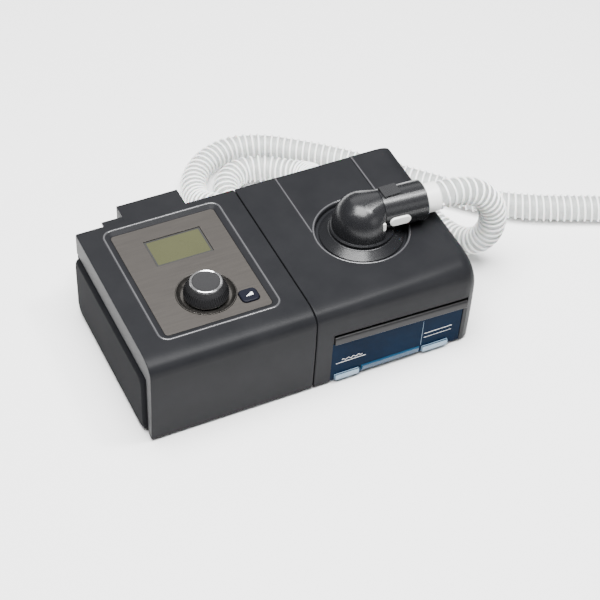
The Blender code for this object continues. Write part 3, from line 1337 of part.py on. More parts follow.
def hose_and_cuffs():
    place = tuple(along_axis(0.0))
    inside = SLEEVE_START + 0.0200
    profile = [(CUFF_BORE, inside), (CUFF_RADIUS, inside), (CUFF_RADIUS, CUFF_END - 0.0012)]
    profile += [(CUFF_RADIUS - 0.0012, CUFF_END), (CUFF_BORE, CUFF_END)]
    turned("machine_cuff", profile, place, "white", 40, AXIS)
    start = [along_axis(CUFF_END + 0.0024), along_axis(CUFF_END + 0.0140)]
    route = smooth_route(start + HOSE_ROUTE, SPACING)
    wire_curve("hose", route, HOSE_RADIUS, 3, "hose")
    end = route[-1]
    cuff = [(0.0, 0.0012), (CUFF_RADIUS - 0.0006, 0.0012), (CUFF_RADIUS, 0.0020), (CUFF_RADIUS, 0.032)]
    cuff += [(CUFF_BORE, 0.032), (CUFF_BORE, 0.008), (0.0, 0.008)]
    turned("mask_cuff", cuff, tuple(end), "white", 32, HOSE_END_AXIS)


blower_top_cover()
blower_side_panel()
blower_base()
filter_cap()
faceplate()
display()
dial()
ramp_button()
boards()
rear_sockets()
blower_motor()
air_duct()
humidifier_top_case()
humidifier_base()
tank_door()
latch()
water_tank()
inlet_duct()
swivel_collar()
outlet_elbow()
outlet_sleeve()
alignment_mark()
hose_and_cuffs()
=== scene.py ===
# %% [markdown]
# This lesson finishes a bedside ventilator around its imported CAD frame. A blower unit with a dial
# and a display stands on the left, and a heated humidifier with a swivel elbow and a clear blue tank
# door on the right. A ribbed breathing hose leaves the elbow. Every measure is in metres, in the
# frame's own axes, so each piece is drawn where the CAD says it is.

# %% Load the frame
import json
import math

import bmesh
import bpy
import numpy as np
from mathutils import Matrix, Vector

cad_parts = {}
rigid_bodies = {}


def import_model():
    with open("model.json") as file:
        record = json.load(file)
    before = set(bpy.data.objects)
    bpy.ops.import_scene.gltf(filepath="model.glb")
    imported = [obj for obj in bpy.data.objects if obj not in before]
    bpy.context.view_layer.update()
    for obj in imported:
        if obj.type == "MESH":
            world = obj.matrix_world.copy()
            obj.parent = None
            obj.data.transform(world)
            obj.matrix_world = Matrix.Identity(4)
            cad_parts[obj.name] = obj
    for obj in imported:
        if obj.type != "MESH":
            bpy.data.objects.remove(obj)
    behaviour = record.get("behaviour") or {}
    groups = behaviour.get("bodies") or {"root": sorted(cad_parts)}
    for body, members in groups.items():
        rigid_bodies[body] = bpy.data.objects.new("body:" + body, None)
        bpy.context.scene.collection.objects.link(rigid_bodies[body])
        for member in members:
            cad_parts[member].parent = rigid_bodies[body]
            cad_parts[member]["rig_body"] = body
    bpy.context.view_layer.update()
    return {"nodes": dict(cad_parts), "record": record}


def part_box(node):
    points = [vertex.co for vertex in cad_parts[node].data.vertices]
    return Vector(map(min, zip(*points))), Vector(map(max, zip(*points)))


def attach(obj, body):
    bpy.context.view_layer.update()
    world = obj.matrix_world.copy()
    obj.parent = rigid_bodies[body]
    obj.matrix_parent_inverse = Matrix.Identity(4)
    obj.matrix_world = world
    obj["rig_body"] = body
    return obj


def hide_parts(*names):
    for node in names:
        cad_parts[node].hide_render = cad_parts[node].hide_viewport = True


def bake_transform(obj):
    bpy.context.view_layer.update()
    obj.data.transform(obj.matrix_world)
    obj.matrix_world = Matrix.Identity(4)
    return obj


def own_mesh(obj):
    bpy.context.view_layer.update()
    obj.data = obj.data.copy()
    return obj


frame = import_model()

scene = bpy.context.scene

# %% [markdown]
# The camera comes first, because the room that the hose may take depends on what the camera sees.
# It looks down from the front left. A camera's own axes are right, up and back, so three unit
# vectors made from the azimuth, the elevation and the roll are all that its matrix needs.

# %% Camera
CAMERA_PLACE = Vector((-0.4722, -1.0053, 1.1218))
CAMERA_AZIMUTH = math.radians(-26.5192)
CAMERA_ELEVATION = math.radians(44.6607)
CAMERA_ROLL = math.radians(2.1355)
LENS_MM = 108.22
SENSOR_MM = 36.0


def aimed_matrix(place, azimuth, elevation, roll):
    """The matrix of a camera that looks back at the object from this direction."""
    back = Vector(
        (
            math.sin(azimuth) * math.cos(elevation),
            -math.cos(azimuth) * math.cos(elevation),
            math.sin(elevation),
        )
    )
    right = Vector((math.cos(azimuth), math.sin(azimuth), 0.0))
    up = back.cross(right)
    rolled_right = math.cos(roll) * right + math.sin(roll) * up
    rolled_up = math.cos(roll) * up - math.sin(roll) * right
    turn = Matrix((rolled_right, rolled_up, back)).transposed().to_4x4()
    return Matrix.Translation(place) @ turn


camera_data = bpy.data.cameras.new("camera")
camera_data.lens = LENS_MM
camera_data.sensor_width = SENSOR_MM
camera_data.clip_start = 0.05
camera = bpy.data.objects.new("camera", camera_data)
scene.collection.objects.link(camera)
camera.matrix_world = aimed_matrix(CAMERA_PLACE, CAMERA_AZIMUTH, CAMERA_ELEVATION, CAMERA_ROLL)
scene.camera = camera
print("camera at", [round(v, 3) for v in CAMERA_PLACE])

# %% [markdown]
# Finishes are node materials. A few small helpers keep each recipe short: one starts a material
# and sets the numbers that are the same all over straight on the shader, one adds a noise pattern
# read in object coordinates, and one turns any pattern into a colour mix or a bump.


# %% Helpers for finishes
class Finish:
    """A material under construction: its nodes, its links and its shader."""

    def __init__(self, name, **constants):
        self.material = bpy.data.materials.new(name)
        self.material.use_nodes = True
        self.nodes = self.material.node_tree.nodes
        self.links = self.material.node_tree.links
        self.shader = self.nodes["Principled BSDF"]
        self.place = self.nodes.new("ShaderNodeTexCoord")
        for socket, value in constants.items():
            self.shader.inputs[socket.replace("_", " ")].default_value = value

    def stretched(self, scale):
        """Object coordinates with each axis scaled."""
        mapping = self.nodes.new("ShaderNodeMapping")
        mapping.inputs["Scale"].default_value = scale
        self.links.new(self.place.outputs["Object"], mapping.inputs["Vector"])
        return mapping.outputs["Vector"]

    def noise(self, scale, detail=3.0, roughness=0.55, vector=None):
        noise = self.nodes.new("ShaderNodeTexNoise")
        noise.inputs["Scale"].default_value = scale
        noise.inputs["Detail"].default_value = detail
        noise.inputs["Roughness"].default_value = roughness
        self.links.new(vector or self.place.outputs["Object"], noise.inputs["Vector"])
        return noise.outputs["Fac"]

    def spread(self, pattern, low, high, to_low, to_high):
        """Maps a pattern's range to another range."""
        spread = self.nodes.new("ShaderNodeMapRange")
        values = (("From Min", low), ("From Max", high), ("To Min", to_low), ("To Max", to_high))
        for socket, value in values:
            spread.inputs[socket].default_value = value
        self.links.new(pattern, spread.inputs["Value"])
        return spread.outputs["Result"]

    def mix(self, pattern, first, second):
        """A colour between first and second where the pattern goes from 0 to 1."""
        mix = self.nodes.new("ShaderNodeMix")
        mix.data_type = "RGBA"
        self.links.new(pattern, mix.inputs["Factor"])
        for socket, colour in (("A", first), ("B", second)):
            slot = [s for s in mix.inputs if s.name == socket and s.type == "RGBA"][0]
            slot.default_value = (*colour, 1.0)
        return [s for s in mix.outputs if s.type == "RGBA"][0]

    def wire(self, output, socket):
        self.links.new(output, self.shader.inputs[socket])

    def bump(self, pattern, distance):
        bump = self.nodes.new("ShaderNodeBump")
        bump.inputs["Distance"].default_value = distance
        bump.inputs["Strength"].default_value = 1.0
        self.links.new(pattern, bump.inputs["Height"])
        self.wire(bump.outputs["Normal"], "Normal")


def moulded(name, light, dark, roughness, grain=1400.0, depth=0.00003, **constants):
    """Moulded plastic: a fine even grain, slow changes of tone and of gloss."""
    finish = Finish(name, **constants)
    slow = finish.noise(26.0, 4.0, 0.6)
    tone = finish.spread(slow, 0.3, 0.7, 0.0, 1.0)
    finish.wire(finish.mix(tone, dark, light), "Base Color")
    fine = finish.noise(grain, 2.0, 0.5)
    gloss = finish.spread(fine, 0.25, 0.75, roughness - 0.06, roughness + 0.06)
    finish.wire(gloss, "Roughness")
    finish.bump(fine, depth)
    return finish.material


# %% [markdown]
# The hose is a thin clear-white film that a springy bead winds round. One smooth line carries both,
# so the line is worked out first: the same centripetal curve through the same points as the CAD
# tube. It leaves the cuff straight, curls down beside the machine, runs behind it, makes two
# nested turns on the table and goes out to the right, where it ends in the mask cuff.

# %% Hose line
REST = 0.0130  # height of the hose's centre where it lies on the table
HOSE_POINTS = [
    (0.14736, -0.01896, 0.1078),
    (0.16084, -0.01981, 0.1078),
    (0.1850, -0.0208, 0.1000),
    (0.2030, -0.0205, 0.0760),
    (0.2060, -0.0175, 0.0480),
    (0.2000, -0.0070, 0.0265),
    (0.1910, 0.0120, 0.0158),
    (0.1845, 0.0360, REST),
    (0.1770, 0.0640, REST),
    (0.1610, 0.0880, REST),
    (0.1330, 0.0985, REST),
    (0.0900, 0.0935, REST),
    (0.0530, 0.0925, REST),
    (0.0335, 0.1050, REST),
    (0.0245, 0.1270, REST),
    (0.0250, 0.1520, REST),
    (0.0350, 0.1700, REST),
    (0.0520, 0.1772, REST),
    (0.0705, 0.1725, REST),
    (0.0865, 0.1600, REST + 0.0010),
    (0.0990, 0.1430, REST + 0.0070),
    (0.1000, 0.1230, REST + 0.0180),
    (0.0890, 0.1040, REST + 0.0262),
    (0.0700, 0.0945, REST + 0.0275),
    (0.0450, 0.0920, REST + 0.0275),
    (0.0210, 0.1010, REST + 0.0255),
    (0.0030, 0.1230, REST + 0.0165),
    (-0.0030, 0.1520, REST + 0.0030),
    (0.0040, 0.1800, REST),
    (0.0240, 0.2010, REST),
    (0.0520, 0.2100, REST),
    (0.0800, 0.2035, REST),
    (0.1100, 0.1830, REST),
    (0.1480, 0.1500, REST),
    (0.2020, 0.0920, REST),
    (0.2568, 0.0372, REST),
    (0.3378, -0.0038, REST),
    (0.4100, -0.0360, REST),
    (0.4780, -0.0900, REST),
    (0.5040, -0.1600, REST),
    (0.4760, -0.2300, REST),
    (0.4100, -0.2640, REST),
    (0.3400, -0.2640, REST),
    (0.2600, -0.2640, REST),
]
CURVE_STEPS = 40  # fine points between two given ones
LINE_STEP = 0.004


def smooth_line(points, step):
    """Evenly spaced points on the centripetal curve through the given ones."""
    ends = [2 * Vector(points[0]) - Vector(points[1])]
    ends += [Vector(p) for p in points]
    ends.append(2 * Vector(points[-1]) - Vector(points[-2]))
    fine = []
    for a, b, c, d in zip(ends, ends[1:], ends[2:], ends[3:]):
        t1 = (b - a).length ** 0.5
        t2 = t1 + (c - b).length ** 0.5
        t3 = t2 + (d - c).length ** 0.5
        for i in range(CURVE_STEPS):
            t = t1 + (t2 - t1) * i / CURVE_STEPS
            ab = a * ((t1 - t) / t1) + b * (t / t1)
            bc = b * ((t2 - t) / (t2 - t1)) + c * ((t - t1) / (t2 - t1))
            cd = c * ((t3 - t) / (t3 - t2)) + d * ((t - t2) / (t3 - t2))
            abc = ab * ((t2 - t) / t2) + bc * (t / t2)
            bcd = bc * ((t3 - t) / (t3 - t1)) + cd * ((t - t1) / (t3 - t1))
            fine.append(abc * ((t2 - t) / (t2 - t1)) + bcd * ((t - t1) / (t2 - t1)))
    fine.append(ends[-2])
    fine = np.array(fine)
    along = np.concatenate([[0.0], np.cumsum(np.linalg.norm(np.diff(fine, axis=0), axis=1))])
    count = round(along[-1] / step)
    even = np.linspace(0.0, along[-1], count + 1)
    return np.stack([np.interp(even, along, fine[:, k]) for k in range(3)], axis=1)


hose_line = smooth_line(HOSE_POINTS, LINE_STEP)
hose_length = float(np.linalg.norm(np.diff(hose_line, axis=0), axis=1).sum())
print(f"hose line: {len(hose_line)} points, {hose_length:.3f} m")

# %% [markdown]
# The hose has two finishes. The film lets light through and goes a little grey between the turns
# of the bead. The bead is denser, whiter and smoother, so it catches a small bright line.


# %% Hose finishes
def film_finish():
    finish = Finish("hose_film", Transmission_Weight=0.55, IOR=1.30)
    cloud = finish.noise(160.0, 3.0, 0.6)
    finish.wire(finish.mix(cloud, (0.50, 0.52, 0.51), (0.66, 0.68, 0.66)), "Base Color")
    finish.wire(finish.spread(cloud, 0.3, 0.7, 0.30, 0.46), "Roughness")
    finish.bump(finish.noise(700.0, 2.0), 0.00008)
    return finish.material


def bead_finish():
    finish = Finish("hose_bead", Subsurface_Weight=0.15, IOR=1.45)
    finish.shader.inputs["Subsurface Scale"].default_value = 0.002
    cloud = finish.noise(90.0, 3.0, 0.6)
    finish.wire(finish.mix(cloud, (0.86, 0.87, 0.85), (0.96, 0.96, 0.95)), "Base Color")
    finish.wire(finish.spread(cloud, 0.3, 0.7, 0.28, 0.40), "Roughness")
    finish.bump(finish.noise(900.0, 2.0), 0.00004)
    return finish.material


film = film_finish()
bead = bead_finish()
print("hose finishes:", film.name, bead.name)

# %% [markdown]
# Ribs that follow a path are a job for Geometry Nodes. The tree takes the bare line, skins it with
# a circle for the film, and moves a finer copy of the line sideways by an angle that grows with the
# length, which makes a helix that is skinned as well. Its sizes are named inputs. A small class
# keeps the building of trees readable in this lesson.


# %% Tree builder
class Tree:
    """A Geometry Nodes tree under construction, with named number inputs."""

    def __init__(self, name, numbers):
        self.tree = bpy.data.node_groups.new(name, "GeometryNodeTree")
        self.tree.interface.new_socket("Geometry", in_out="INPUT", socket_type="NodeSocketGeometry")
        self.identifiers = {}
        for label, kind in numbers:
            made = self.tree.interface.new_socket(label, in_out="INPUT", socket_type=kind)
            self.identifiers[label] = made.identifier
        self.tree.interface.new_socket("Geometry", in_out="OUTPUT", socket_type="NodeSocketGeometry")
        self.source = self.tree.nodes.new("NodeGroupInput")
        self.sink = self.tree.nodes.new("NodeGroupOutput")

    def add(self, kind, settings=(), **inputs):
        node = self.tree.nodes.new(kind)
        for key, value in dict(settings).items():
            setattr(node, key, value)
        for key, value in inputs.items():
            name = key.replace("_", " ")
            by_number = key[0] == "i" and key[1:].isdigit()
            socket = node.inputs[int(key[1:]) if by_number else name]
            if isinstance(value, bpy.types.NodeSocket):
                self.tree.links.new(value, socket)
            else:
                socket.default_value = value
        return node

    def math(self, operation, first, second=0.0):
        return self.add("ShaderNodeMath", {"operation": operation}, i0=first, i1=second).outputs[0]

    def vector(self, operation, output="Vector", **inputs):
        return self.add("ShaderNodeVectorMath", {"operation": operation}, **inputs).outputs[output]

    def end(self, geometry, *finishes):
        """Realises the instances, sets the finishes and closes the tree."""
        last = self.add("GeometryNodeRealizeInstances", Geometry=geometry).outputs[0]
        for material, selection in finishes:
            inputs = {"Geometry": last, "Material": material}
            if selection is not None:
                inputs["Selection"] = selection
            last = self.add("GeometryNodeSetMaterial", **inputs).outputs[0]
        self.tree.links.new(last, self.sink.inputs[0])

    def plain_mesh(self, name, start_mesh, values):
        """Runs the tree on a mesh and keeps the result as a plain object."""
        carrier = bpy.data.objects.new(name + "_carrier", start_mesh)
        scene.collection.objects.link(carrier)
        modifier = carrier.modifiers.new("nodes", "NODES")
        modifier.node_group = self.tree
        for label, value in values.items():
            modifier[self.identifiers[label]] = value
        bpy.context.view_layer.update()
        graph = bpy.context.evaluated_depsgraph_get()
        mesh = bpy.data.meshes.new_from_object(carrier.evaluated_get(graph))
        carrier.modifiers.clear()
        bpy.data.objects.remove(carrier, do_unlink=True)
        mesh.name = name
        made = bpy.data.objects.new(name, mesh)
        scene.collection.objects.link(made)
        return made


def line_mesh(name, points, closed=False):
    mesh = bpy.data.meshes.new(name)
    edges = [(i, i + 1) for i in range(len(points) - 1)]
    if closed:
        edges.append((len(points) - 1, 0))
    mesh.from_pydata([tuple(p) for p in points], edges, [])
    return mesh


# %% Ribbed hose tree
def ribbed_hose_tree():
    numbers = [
        ("Film radius", "NodeSocketFloat"),
        ("Coil radius", "NodeSocketFloat"),
        ("Bead radius", "NodeSocketFloat"),
        ("Pitch", "NodeSocketFloat"),
        ("Step", "NodeSocketFloat"),
    ]
    tree = Tree("ribbed_hose", numbers)
    given = tree.source.outputs
    line = tree.add("GeometryNodeMeshToCurve", Mesh=given["Geometry"]).outputs[0]
    wall_ring = tree.add("GeometryNodeCurvePrimitiveCircle", Resolution=28, Radius=given["Film radius"])
    wall = tree.add("GeometryNodeCurveToMesh", Curve=line, Profile_Curve=wall_ring.outputs[0])
    finer = tree.add(
        "GeometryNodeResampleCurve", {"mode": "LENGTH"}, Curve=line, Length=given["Step"]
    ).outputs[0]
    along = tree.add("GeometryNodeSplineParameter").outputs["Length"]
    angle = tree.math("DIVIDE", tree.math("MULTIPLY", along, 2 * math.pi), given["Pitch"])
    normal = tree.add("GeometryNodeInputNormal").outputs[0]
    tangent = tree.add("GeometryNodeInputTangent").outputs[0]
    across = tree.vector("CROSS_PRODUCT", i0=tangent, i1=normal)
    cosine = tree.vector("SCALE", Vector=normal, Scale=tree.math("COSINE", angle))
    sine = tree.vector("SCALE", Vector=across, Scale=tree.math("SINE", angle))
    spoke = tree.vector("ADD", i0=cosine, i1=sine)
    offset = tree.vector("SCALE", Vector=spoke, Scale=given["Coil radius"])
    helix = tree.add("GeometryNodeSetPosition", Geometry=finer, Offset=offset).outputs[0]
    bead_ring = tree.add("GeometryNodeCurvePrimitiveCircle", Resolution=7, Radius=given["Bead radius"])
    wound = tree.add(
        "GeometryNodeCurveToMesh", Curve=helix, Profile_Curve=bead_ring.outputs[0], Fill_Caps=True
    )
    marked = tree.add(
        "GeometryNodeStoreNamedAttribute",
        {"data_type": "BOOLEAN", "domain": "FACE"},
        Geometry=wound.outputs[0],
        Name="is_bead",
        Value=True,
    )
    both = tree.add("GeometryNodeJoinGeometry")
    tree.tree.links.new(wall.outputs[0], both.inputs[0])
    tree.tree.links.new(marked.outputs[0], both.inputs[0])
    smooth = tree.add("GeometryNodeSetShadeSmooth", Geometry=both.outputs[0]).outputs[0]
    is_bead = tree.add("GeometryNodeInputNamedAttribute", {"data_type": "BOOLEAN"}, Name="is_bead")
    tree.end(smooth, (film, None), (bead, is_bead.outputs[0]))
    return tree


FILM_RADIUS = 0.0110
BEAD_RADIUS = 0.0011
COIL_RADIUS = 0.0117
PITCH = 0.0063  # from one turn of the bead to the next
STEPS_PER_TURN = 15
hose = ribbed_hose_tree().plain_mesh(
    "ribbed_hose",
    line_mesh("hose_line", hose_line),
    {
        "Film radius": FILM_RADIUS,
        "Coil radius": COIL_RADIUS,
        "Bead radius": BEAD_RADIUS,
        "Pitch": PITCH,
        "Step": PITCH / STEPS_PER_TURN,
    },
)
print(f"hose: {len(hose.data.polygons)} faces, {len(hose.data.materials)} finishes")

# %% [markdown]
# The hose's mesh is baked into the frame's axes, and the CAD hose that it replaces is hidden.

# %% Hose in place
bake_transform(hose)
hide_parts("hose")

# %% [markdown]
# A pale floor and soft light show the satin plastic best. The main lamp is large and hangs
# overhead. Weaker ones stand behind, in front and at the left, and a small one draws bright lines
# on the edges at the right.

# %% Floor and light
FLOOR_SIZE = 8.0


def pale_floor():
    mesh = bpy.data.meshes.new("floor")
    half = FLOOR_SIZE / 2
    corners = [(-half, -half, 0.0), (half, -half, 0.0), (half, half, 0.0), (-half, half, 0.0)]
    mesh.from_pydata(corners, [], [(0, 1, 2, 3)])
    finish = Finish("floor_paper", Roughness=0.9)
    faint = finish.noise(3.0, 3.0)
    finish.wire(finish.mix(faint, (0.91, 0.91, 0.91), (0.93, 0.93, 0.93)), "Base Color")
    mesh.materials.append(finish.material)
    floor = bpy.data.objects.new("floor", mesh)
    scene.collection.objects.link(floor)


def soft_lamp(name, place, target, size, power):
    """A rectangular lamp that faces the target, with its size in metres and its power in watts."""
    data = bpy.data.lights.new(name, "AREA")
    data.shape = "RECTANGLE"
    data.size, data.size_y = size
    data.energy = power
    lamp = bpy.data.objects.new(name, data)
    scene.collection.objects.link(lamp)
    away = Vector(place) - Vector(target)
    lamp.matrix_world = Matrix.Translation(place) @ away.to_track_quat("Z", "Y").to_matrix().to_4x4()


pale_floor()
MIDDLE = (0.0, 0.0, 0.05)
soft_lamp("back_softbox", (0.5, 1.5, 1.5), MIDDLE, (1.6, 0.9), 9.0)
soft_lamp("top_softbox", (-0.2, -0.2, 2.0), (0.0, 0.0, 0.0), (1.5, 1.5), 175.0)
soft_lamp("front_softbox", (0.9, -1.6, 0.9), MIDDLE, (1.0, 0.7), 5.0)
soft_lamp("edge_lamp", (0.55, -0.35, 1.5), MIDDLE, (0.22, 0.22), 16.0)
soft_lamp("left_lamp", (-1.1, 0.1, 1.3), MIDDLE, (0.22, 0.6), 1.2)
world = bpy.data.worlds.new("studio")
world.use_nodes = True
background = world.node_tree.nodes["Background"]
background.inputs["Color"].default_value = (1.0, 1.0, 1.0, 1.0)
background.inputs["Strength"].default_value = 0.12
scene.world = world

# %% [markdown]
# Most pieces keep the CAD shape and only need better shading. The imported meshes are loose
# triangles, so a copy is merged, flat neighbours are joined into whole faces, and the edges that
# turn sharply get a fine round that catches the light. The copy then stands for the CAD piece.


# %% Finishing a CAD shape
SAME_PLACE = 2e-6
FLAT_ANGLE = math.radians(0.6)
SHARP_ANGLE = math.radians(32.0)


def finished_mesh(name, source, round_by):
    """A copy with whole faces, soft shading, and sharp edges rounded by the given width."""
    bm = bmesh.new()
    bm.from_mesh(source)
    bmesh.ops.remove_doubles(bm, verts=bm.verts, dist=SAME_PLACE)
    bmesh.ops.dissolve_limit(
        bm, angle_limit=FLAT_ANGLE, verts=bm.verts, edges=bm.edges, use_dissolve_boundaries=False
    )
    mesh = bpy.data.meshes.new(name)
    bm.to_mesh(mesh)
    bm.free()
    mesh.materials.clear()
    mesh.shade_smooth()
    mesh.set_sharp_from_angle(angle=SHARP_ANGLE)
    carrier = bpy.data.objects.new(name + "_carrier", mesh)
    scene.collection.objects.link(carrier)
    if round_by:
        bevel = carrier.modifiers.new("round", "BEVEL")
        bevel.width = round_by
        bevel.segments = 2
        bevel.limit_method = "ANGLE"
        bevel.angle_limit = SHARP_ANGLE
        bevel.use_clamp_overlap = True
        bevel.harden_normals = True
    weight = carrier.modifiers.new("weight", "WEIGHTED_NORMAL")
    weight.keep_sharp = True
    graph = bpy.context.evaluated_depsgraph_get()
    result = bpy.data.meshes.new_from_object(carrier.evaluated_get(graph))
    bpy.data.objects.remove(carrier, do_unlink=True)
    result.name = name
    return result


SLOT_OF = {row["node"]: row["material_slot"] for row in frame["record"]["subparts"]}


def finish_node(node, material, round_by=0.0):
    """A finished copy that stands for a CAD piece and rides where it rode."""
    piece = frame["nodes"][node]
    name = node + "_finished"
    made = bpy.data.objects.new(name, finished_mesh(name, piece.data, round_by))
    scene.collection.objects.link(made)
    made.data.materials.append(material)
    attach(made, piece["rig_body"])
    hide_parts(node)
    return made


def coat_node(node, material):
    """Gives a CAD piece a material and leaves its shape alone."""
    piece = frame["nodes"][node]
    for slot in piece.material_slots:
        slot.link = "OBJECT"
        slot.material = material


print("subparts in the record:", len(SLOT_OF))

# %% [markdown]
# The casings are charcoal plastic with a satin skin. The grain is far finer than the part, so it
# only breaks up the highlights. Slow changes of tone keep the wide faces from looking like paint.
# The left side panel has the same tone with less gloss, and the elbow's pieces have more.

# %% Casings
CHARCOAL = (0.0122, 0.0125, 0.0140)
DARK_CHARCOAL = (0.0092, 0.0095, 0.0108)
case_plastic = moulded("case_plastic", CHARCOAL, DARK_CHARCOAL, 0.38, Specular_IOR_Level=0.07)
side_plastic = moulded("side_plastic", CHARCOAL, DARK_CHARCOAL, 0.45, Specular_IOR_Level=0.005)
elbow_plastic = moulded(
    "elbow_plastic", (0.0105, 0.0108, 0.012), (0.008, 0.0082, 0.0093), 0.27, Specular_IOR_Level=0.4
)
# The beads' plastic is the case's charcoal painted about five times lighter: a painted highlight on the
# raised edges.
painted_highlight_plastic = moulded(
    "painted_highlight_plastic", (0.060, 0.060, 0.064), (0.045, 0.045, 0.049), 0.22, Specular_IOR_Level=0.8
)
base_plastic = moulded(
    "base_plastic", (0.014, 0.014, 0.016), (0.010, 0.010, 0.012), 0.55, Specular_IOR_Level=0.2
)
for node, round_by in (
    ("blower_top_cover", 0.0004),
    ("humidifier_top_case", 0.0004),
    ("filter_cap", 0.0005),
):
    finish_node(node, case_plastic, round_by)
finish_node("blower_side_panel", side_plastic, 0.0005)
for node in ("swivel_collar", "outlet_elbow", "outlet_sleeve"):
    finish_node(node, elbow_plastic, 0.0004)
for node in ("blower_base", "humidifier_base", "memory_card"):
    finish_node(node, base_plastic, 0.0003)
print("casings finished")

# %% [markdown]
# Fine raised beads frame the faceplate, run down both sides of the air channel on the humidifier's
# top and edge its round dish. Each gets a real half-round shape, and its plastic is the case's,
# painted about five times lighter as a painted highlight, which draws the bright lines on the dark
# casing. One small tree skins any line with a round profile of a given radius.


# %% Casing beads
def bead_tree():
    tree = Tree("casing_bead", [("Radius", "NodeSocketFloat"), ("Sides", "NodeSocketInt")])
    given = tree.source.outputs
    line = tree.add("GeometryNodeMeshToCurve", Mesh=given["Geometry"]).outputs[0]
    ring = tree.add(
        "GeometryNodeCurvePrimitiveCircle", Resolution=given["Sides"], Radius=given["Radius"]
    ).outputs[0]
    skin = tree.add("GeometryNodeCurveToMesh", Curve=line, Profile_Curve=ring, Fill_Caps=True)
    smooth = tree.add("GeometryNodeSetShadeSmooth", Geometry=skin.outputs[0]).outputs[0]
    # The beads take the plastic with the painted highlight.
    tree.end(smooth, (painted_highlight_plastic, None))
    return tree


def rounded_corners(x0, y0, x1, y1, radius, steps=8):
    """Points round a rectangle with rounded corners, counter-clockwise."""
    corners = ((x1, y1, 1, 1, 0), (x0, y1, -1, 1, 90), (x0, y0, -1, -1, 180), (x1, y0, 1, -1, 270))
    points = []
    for x, y, side_x, side_y, start in corners:
        for i in range(steps + 1):
            a = math.radians(start + 90 * i / steps)
            centre_x = x - side_x * radius
            centre_y = y - side_y * radius
            points.append((centre_x + radius * math.cos(a), centre_y + radius * math.sin(a)))
    return points


CASE_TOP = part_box("humidifier_top_case")[1].z
CASE_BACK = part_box("humidifier_base")[1].y + 0.0027
DISH_CENTRE = (0.0780, -0.0146)
DISH_REACH = 0.0395 + 0.0016  # the dish's radius, and the rim outside it
DISH_STEPS = 96
BORDER = 0.0058  # from the faceplate's edge to the bead round it
BORDER_ROUND = 0.0085
CHANNEL_SIDES = (("left", -0.0400, 0.0100), ("right", 0.0340, 0.0240))
FACE_SINK, DISH_SINK = 0.0004, 0.0006  # how far the beads' centres lie under the case top
CHANNEL_START, CHANNEL_END = 0.0016, 0.0010

beads = bead_tree()
face_low, face_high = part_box("faceplate")
outline = rounded_corners(
    face_low.x - BORDER, face_low.y - BORDER, face_high.x + BORDER, face_high.y + BORDER, BORDER_ROUND
)
face_points = [(x, y, CASE_TOP - FACE_SINK) for x, y in outline]
face_bead = beads.plain_mesh(
    "face_border_bead",
    line_mesh("face_border_line", face_points, closed=True),
    {"Radius": 0.0011, "Sides": 12},
)
dish_x, dish_y = DISH_CENTRE
rim_points = []
for i in range(DISH_STEPS):
    a = 2 * math.pi * i / DISH_STEPS
    x, y = dish_x + DISH_REACH * math.cos(a), dish_y + DISH_REACH * math.sin(a)
    rim_points.append((x, y, CASE_TOP - DISH_SINK))
dish_bead = beads.plain_mesh(
    "dish_rim_bead",
    line_mesh("dish_rim_line", rim_points, closed=True),
    {"Radius": 0.0010, "Sides": 12},
)
channel_beads = []
for side, aside, start in CHANNEL_SIDES:
    x, y = dish_x + aside, dish_y + start
    line = [
        (x, y, CASE_TOP - CHANNEL_START),
        (x, y + 0.006, CASE_TOP - FACE_SINK),
        (x, CASE_BACK - 0.0030, CASE_TOP - FACE_SINK),
        (x, CASE_BACK - 0.0012, CASE_TOP - CHANNEL_END),
    ]
    channel_beads.append(
        beads.plain_mesh(
            f"channel_bead_{side}", line_mesh("channel_line", line), {"Radius": 0.0009, "Sides": 10}
        )
    )
for piece in (face_bead, dish_bead, *channel_beads):
    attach(piece, "machine")
print("beads at", round(CASE_TOP, 4))

# %% [markdown]
# The control face is a warm grey metallic film on a plate. Brushed marks run across it: a noise
# pattern that is stretched along one axis gives both the fine tone lines and the uneven gloss.


# %% Control face
def brushed(name, light, dark, metallic, roughness):
    """Metal with fine marks that run along the x axis."""
    finish = Finish(name, Metallic=metallic)
    lines = finish.noise(1.0, 4.0, 0.65, finish.stretched((30.0, 900.0, 900.0)))
    finish.wire(finish.mix(finish.spread(lines, 0.3, 0.7, 0.0, 1.0), dark, light), "Base Color")
    finish.wire(finish.spread(lines, 0.3, 0.7, roughness - 0.05, roughness + 0.08), "Roughness")
    finish.bump(lines, 0.00002)
    return finish.material


def cast_metal(name, light, dark, roughness):
    """A smooth metallic skin: slow changes of tone and gloss, and a faint unevenness."""
    finish = Finish(name, Metallic=0.9)
    slow = finish.noise(120.0, 3.0, 0.5)
    finish.wire(finish.mix(finish.spread(slow, 0.3, 0.7, 0.0, 1.0), dark, light), "Base Color")
    finish.wire(finish.spread(slow, 0.3, 0.7, roughness - 0.04, roughness + 0.05), "Roughness")
    finish.bump(finish.noise(500.0, 2.0), 0.00001)
    return finish.material


face_metal = brushed("face_metal", (0.040, 0.0355, 0.0315), (0.031, 0.0275, 0.0245), 0.30, 0.44)
dish_metal = cast_metal("dish_metal", (0.10, 0.094, 0.088), (0.07, 0.066, 0.062), 0.27)
chrome = cast_metal("bright_chrome", (0.66, 0.66, 0.67), (0.56, 0.56, 0.57), 0.14)
finish_node("faceplate", face_metal, 0.0003)
finish_node("dial_bezel", dish_metal, 0.0002)
print("control face finished")

# %% [markdown]
# The display is a green-grey liquid crystal panel. It is off, so it shows only its even olive tone
# inside a dark printed frame. The frame is thin geometry, a few hundredths of a millimetre proud.


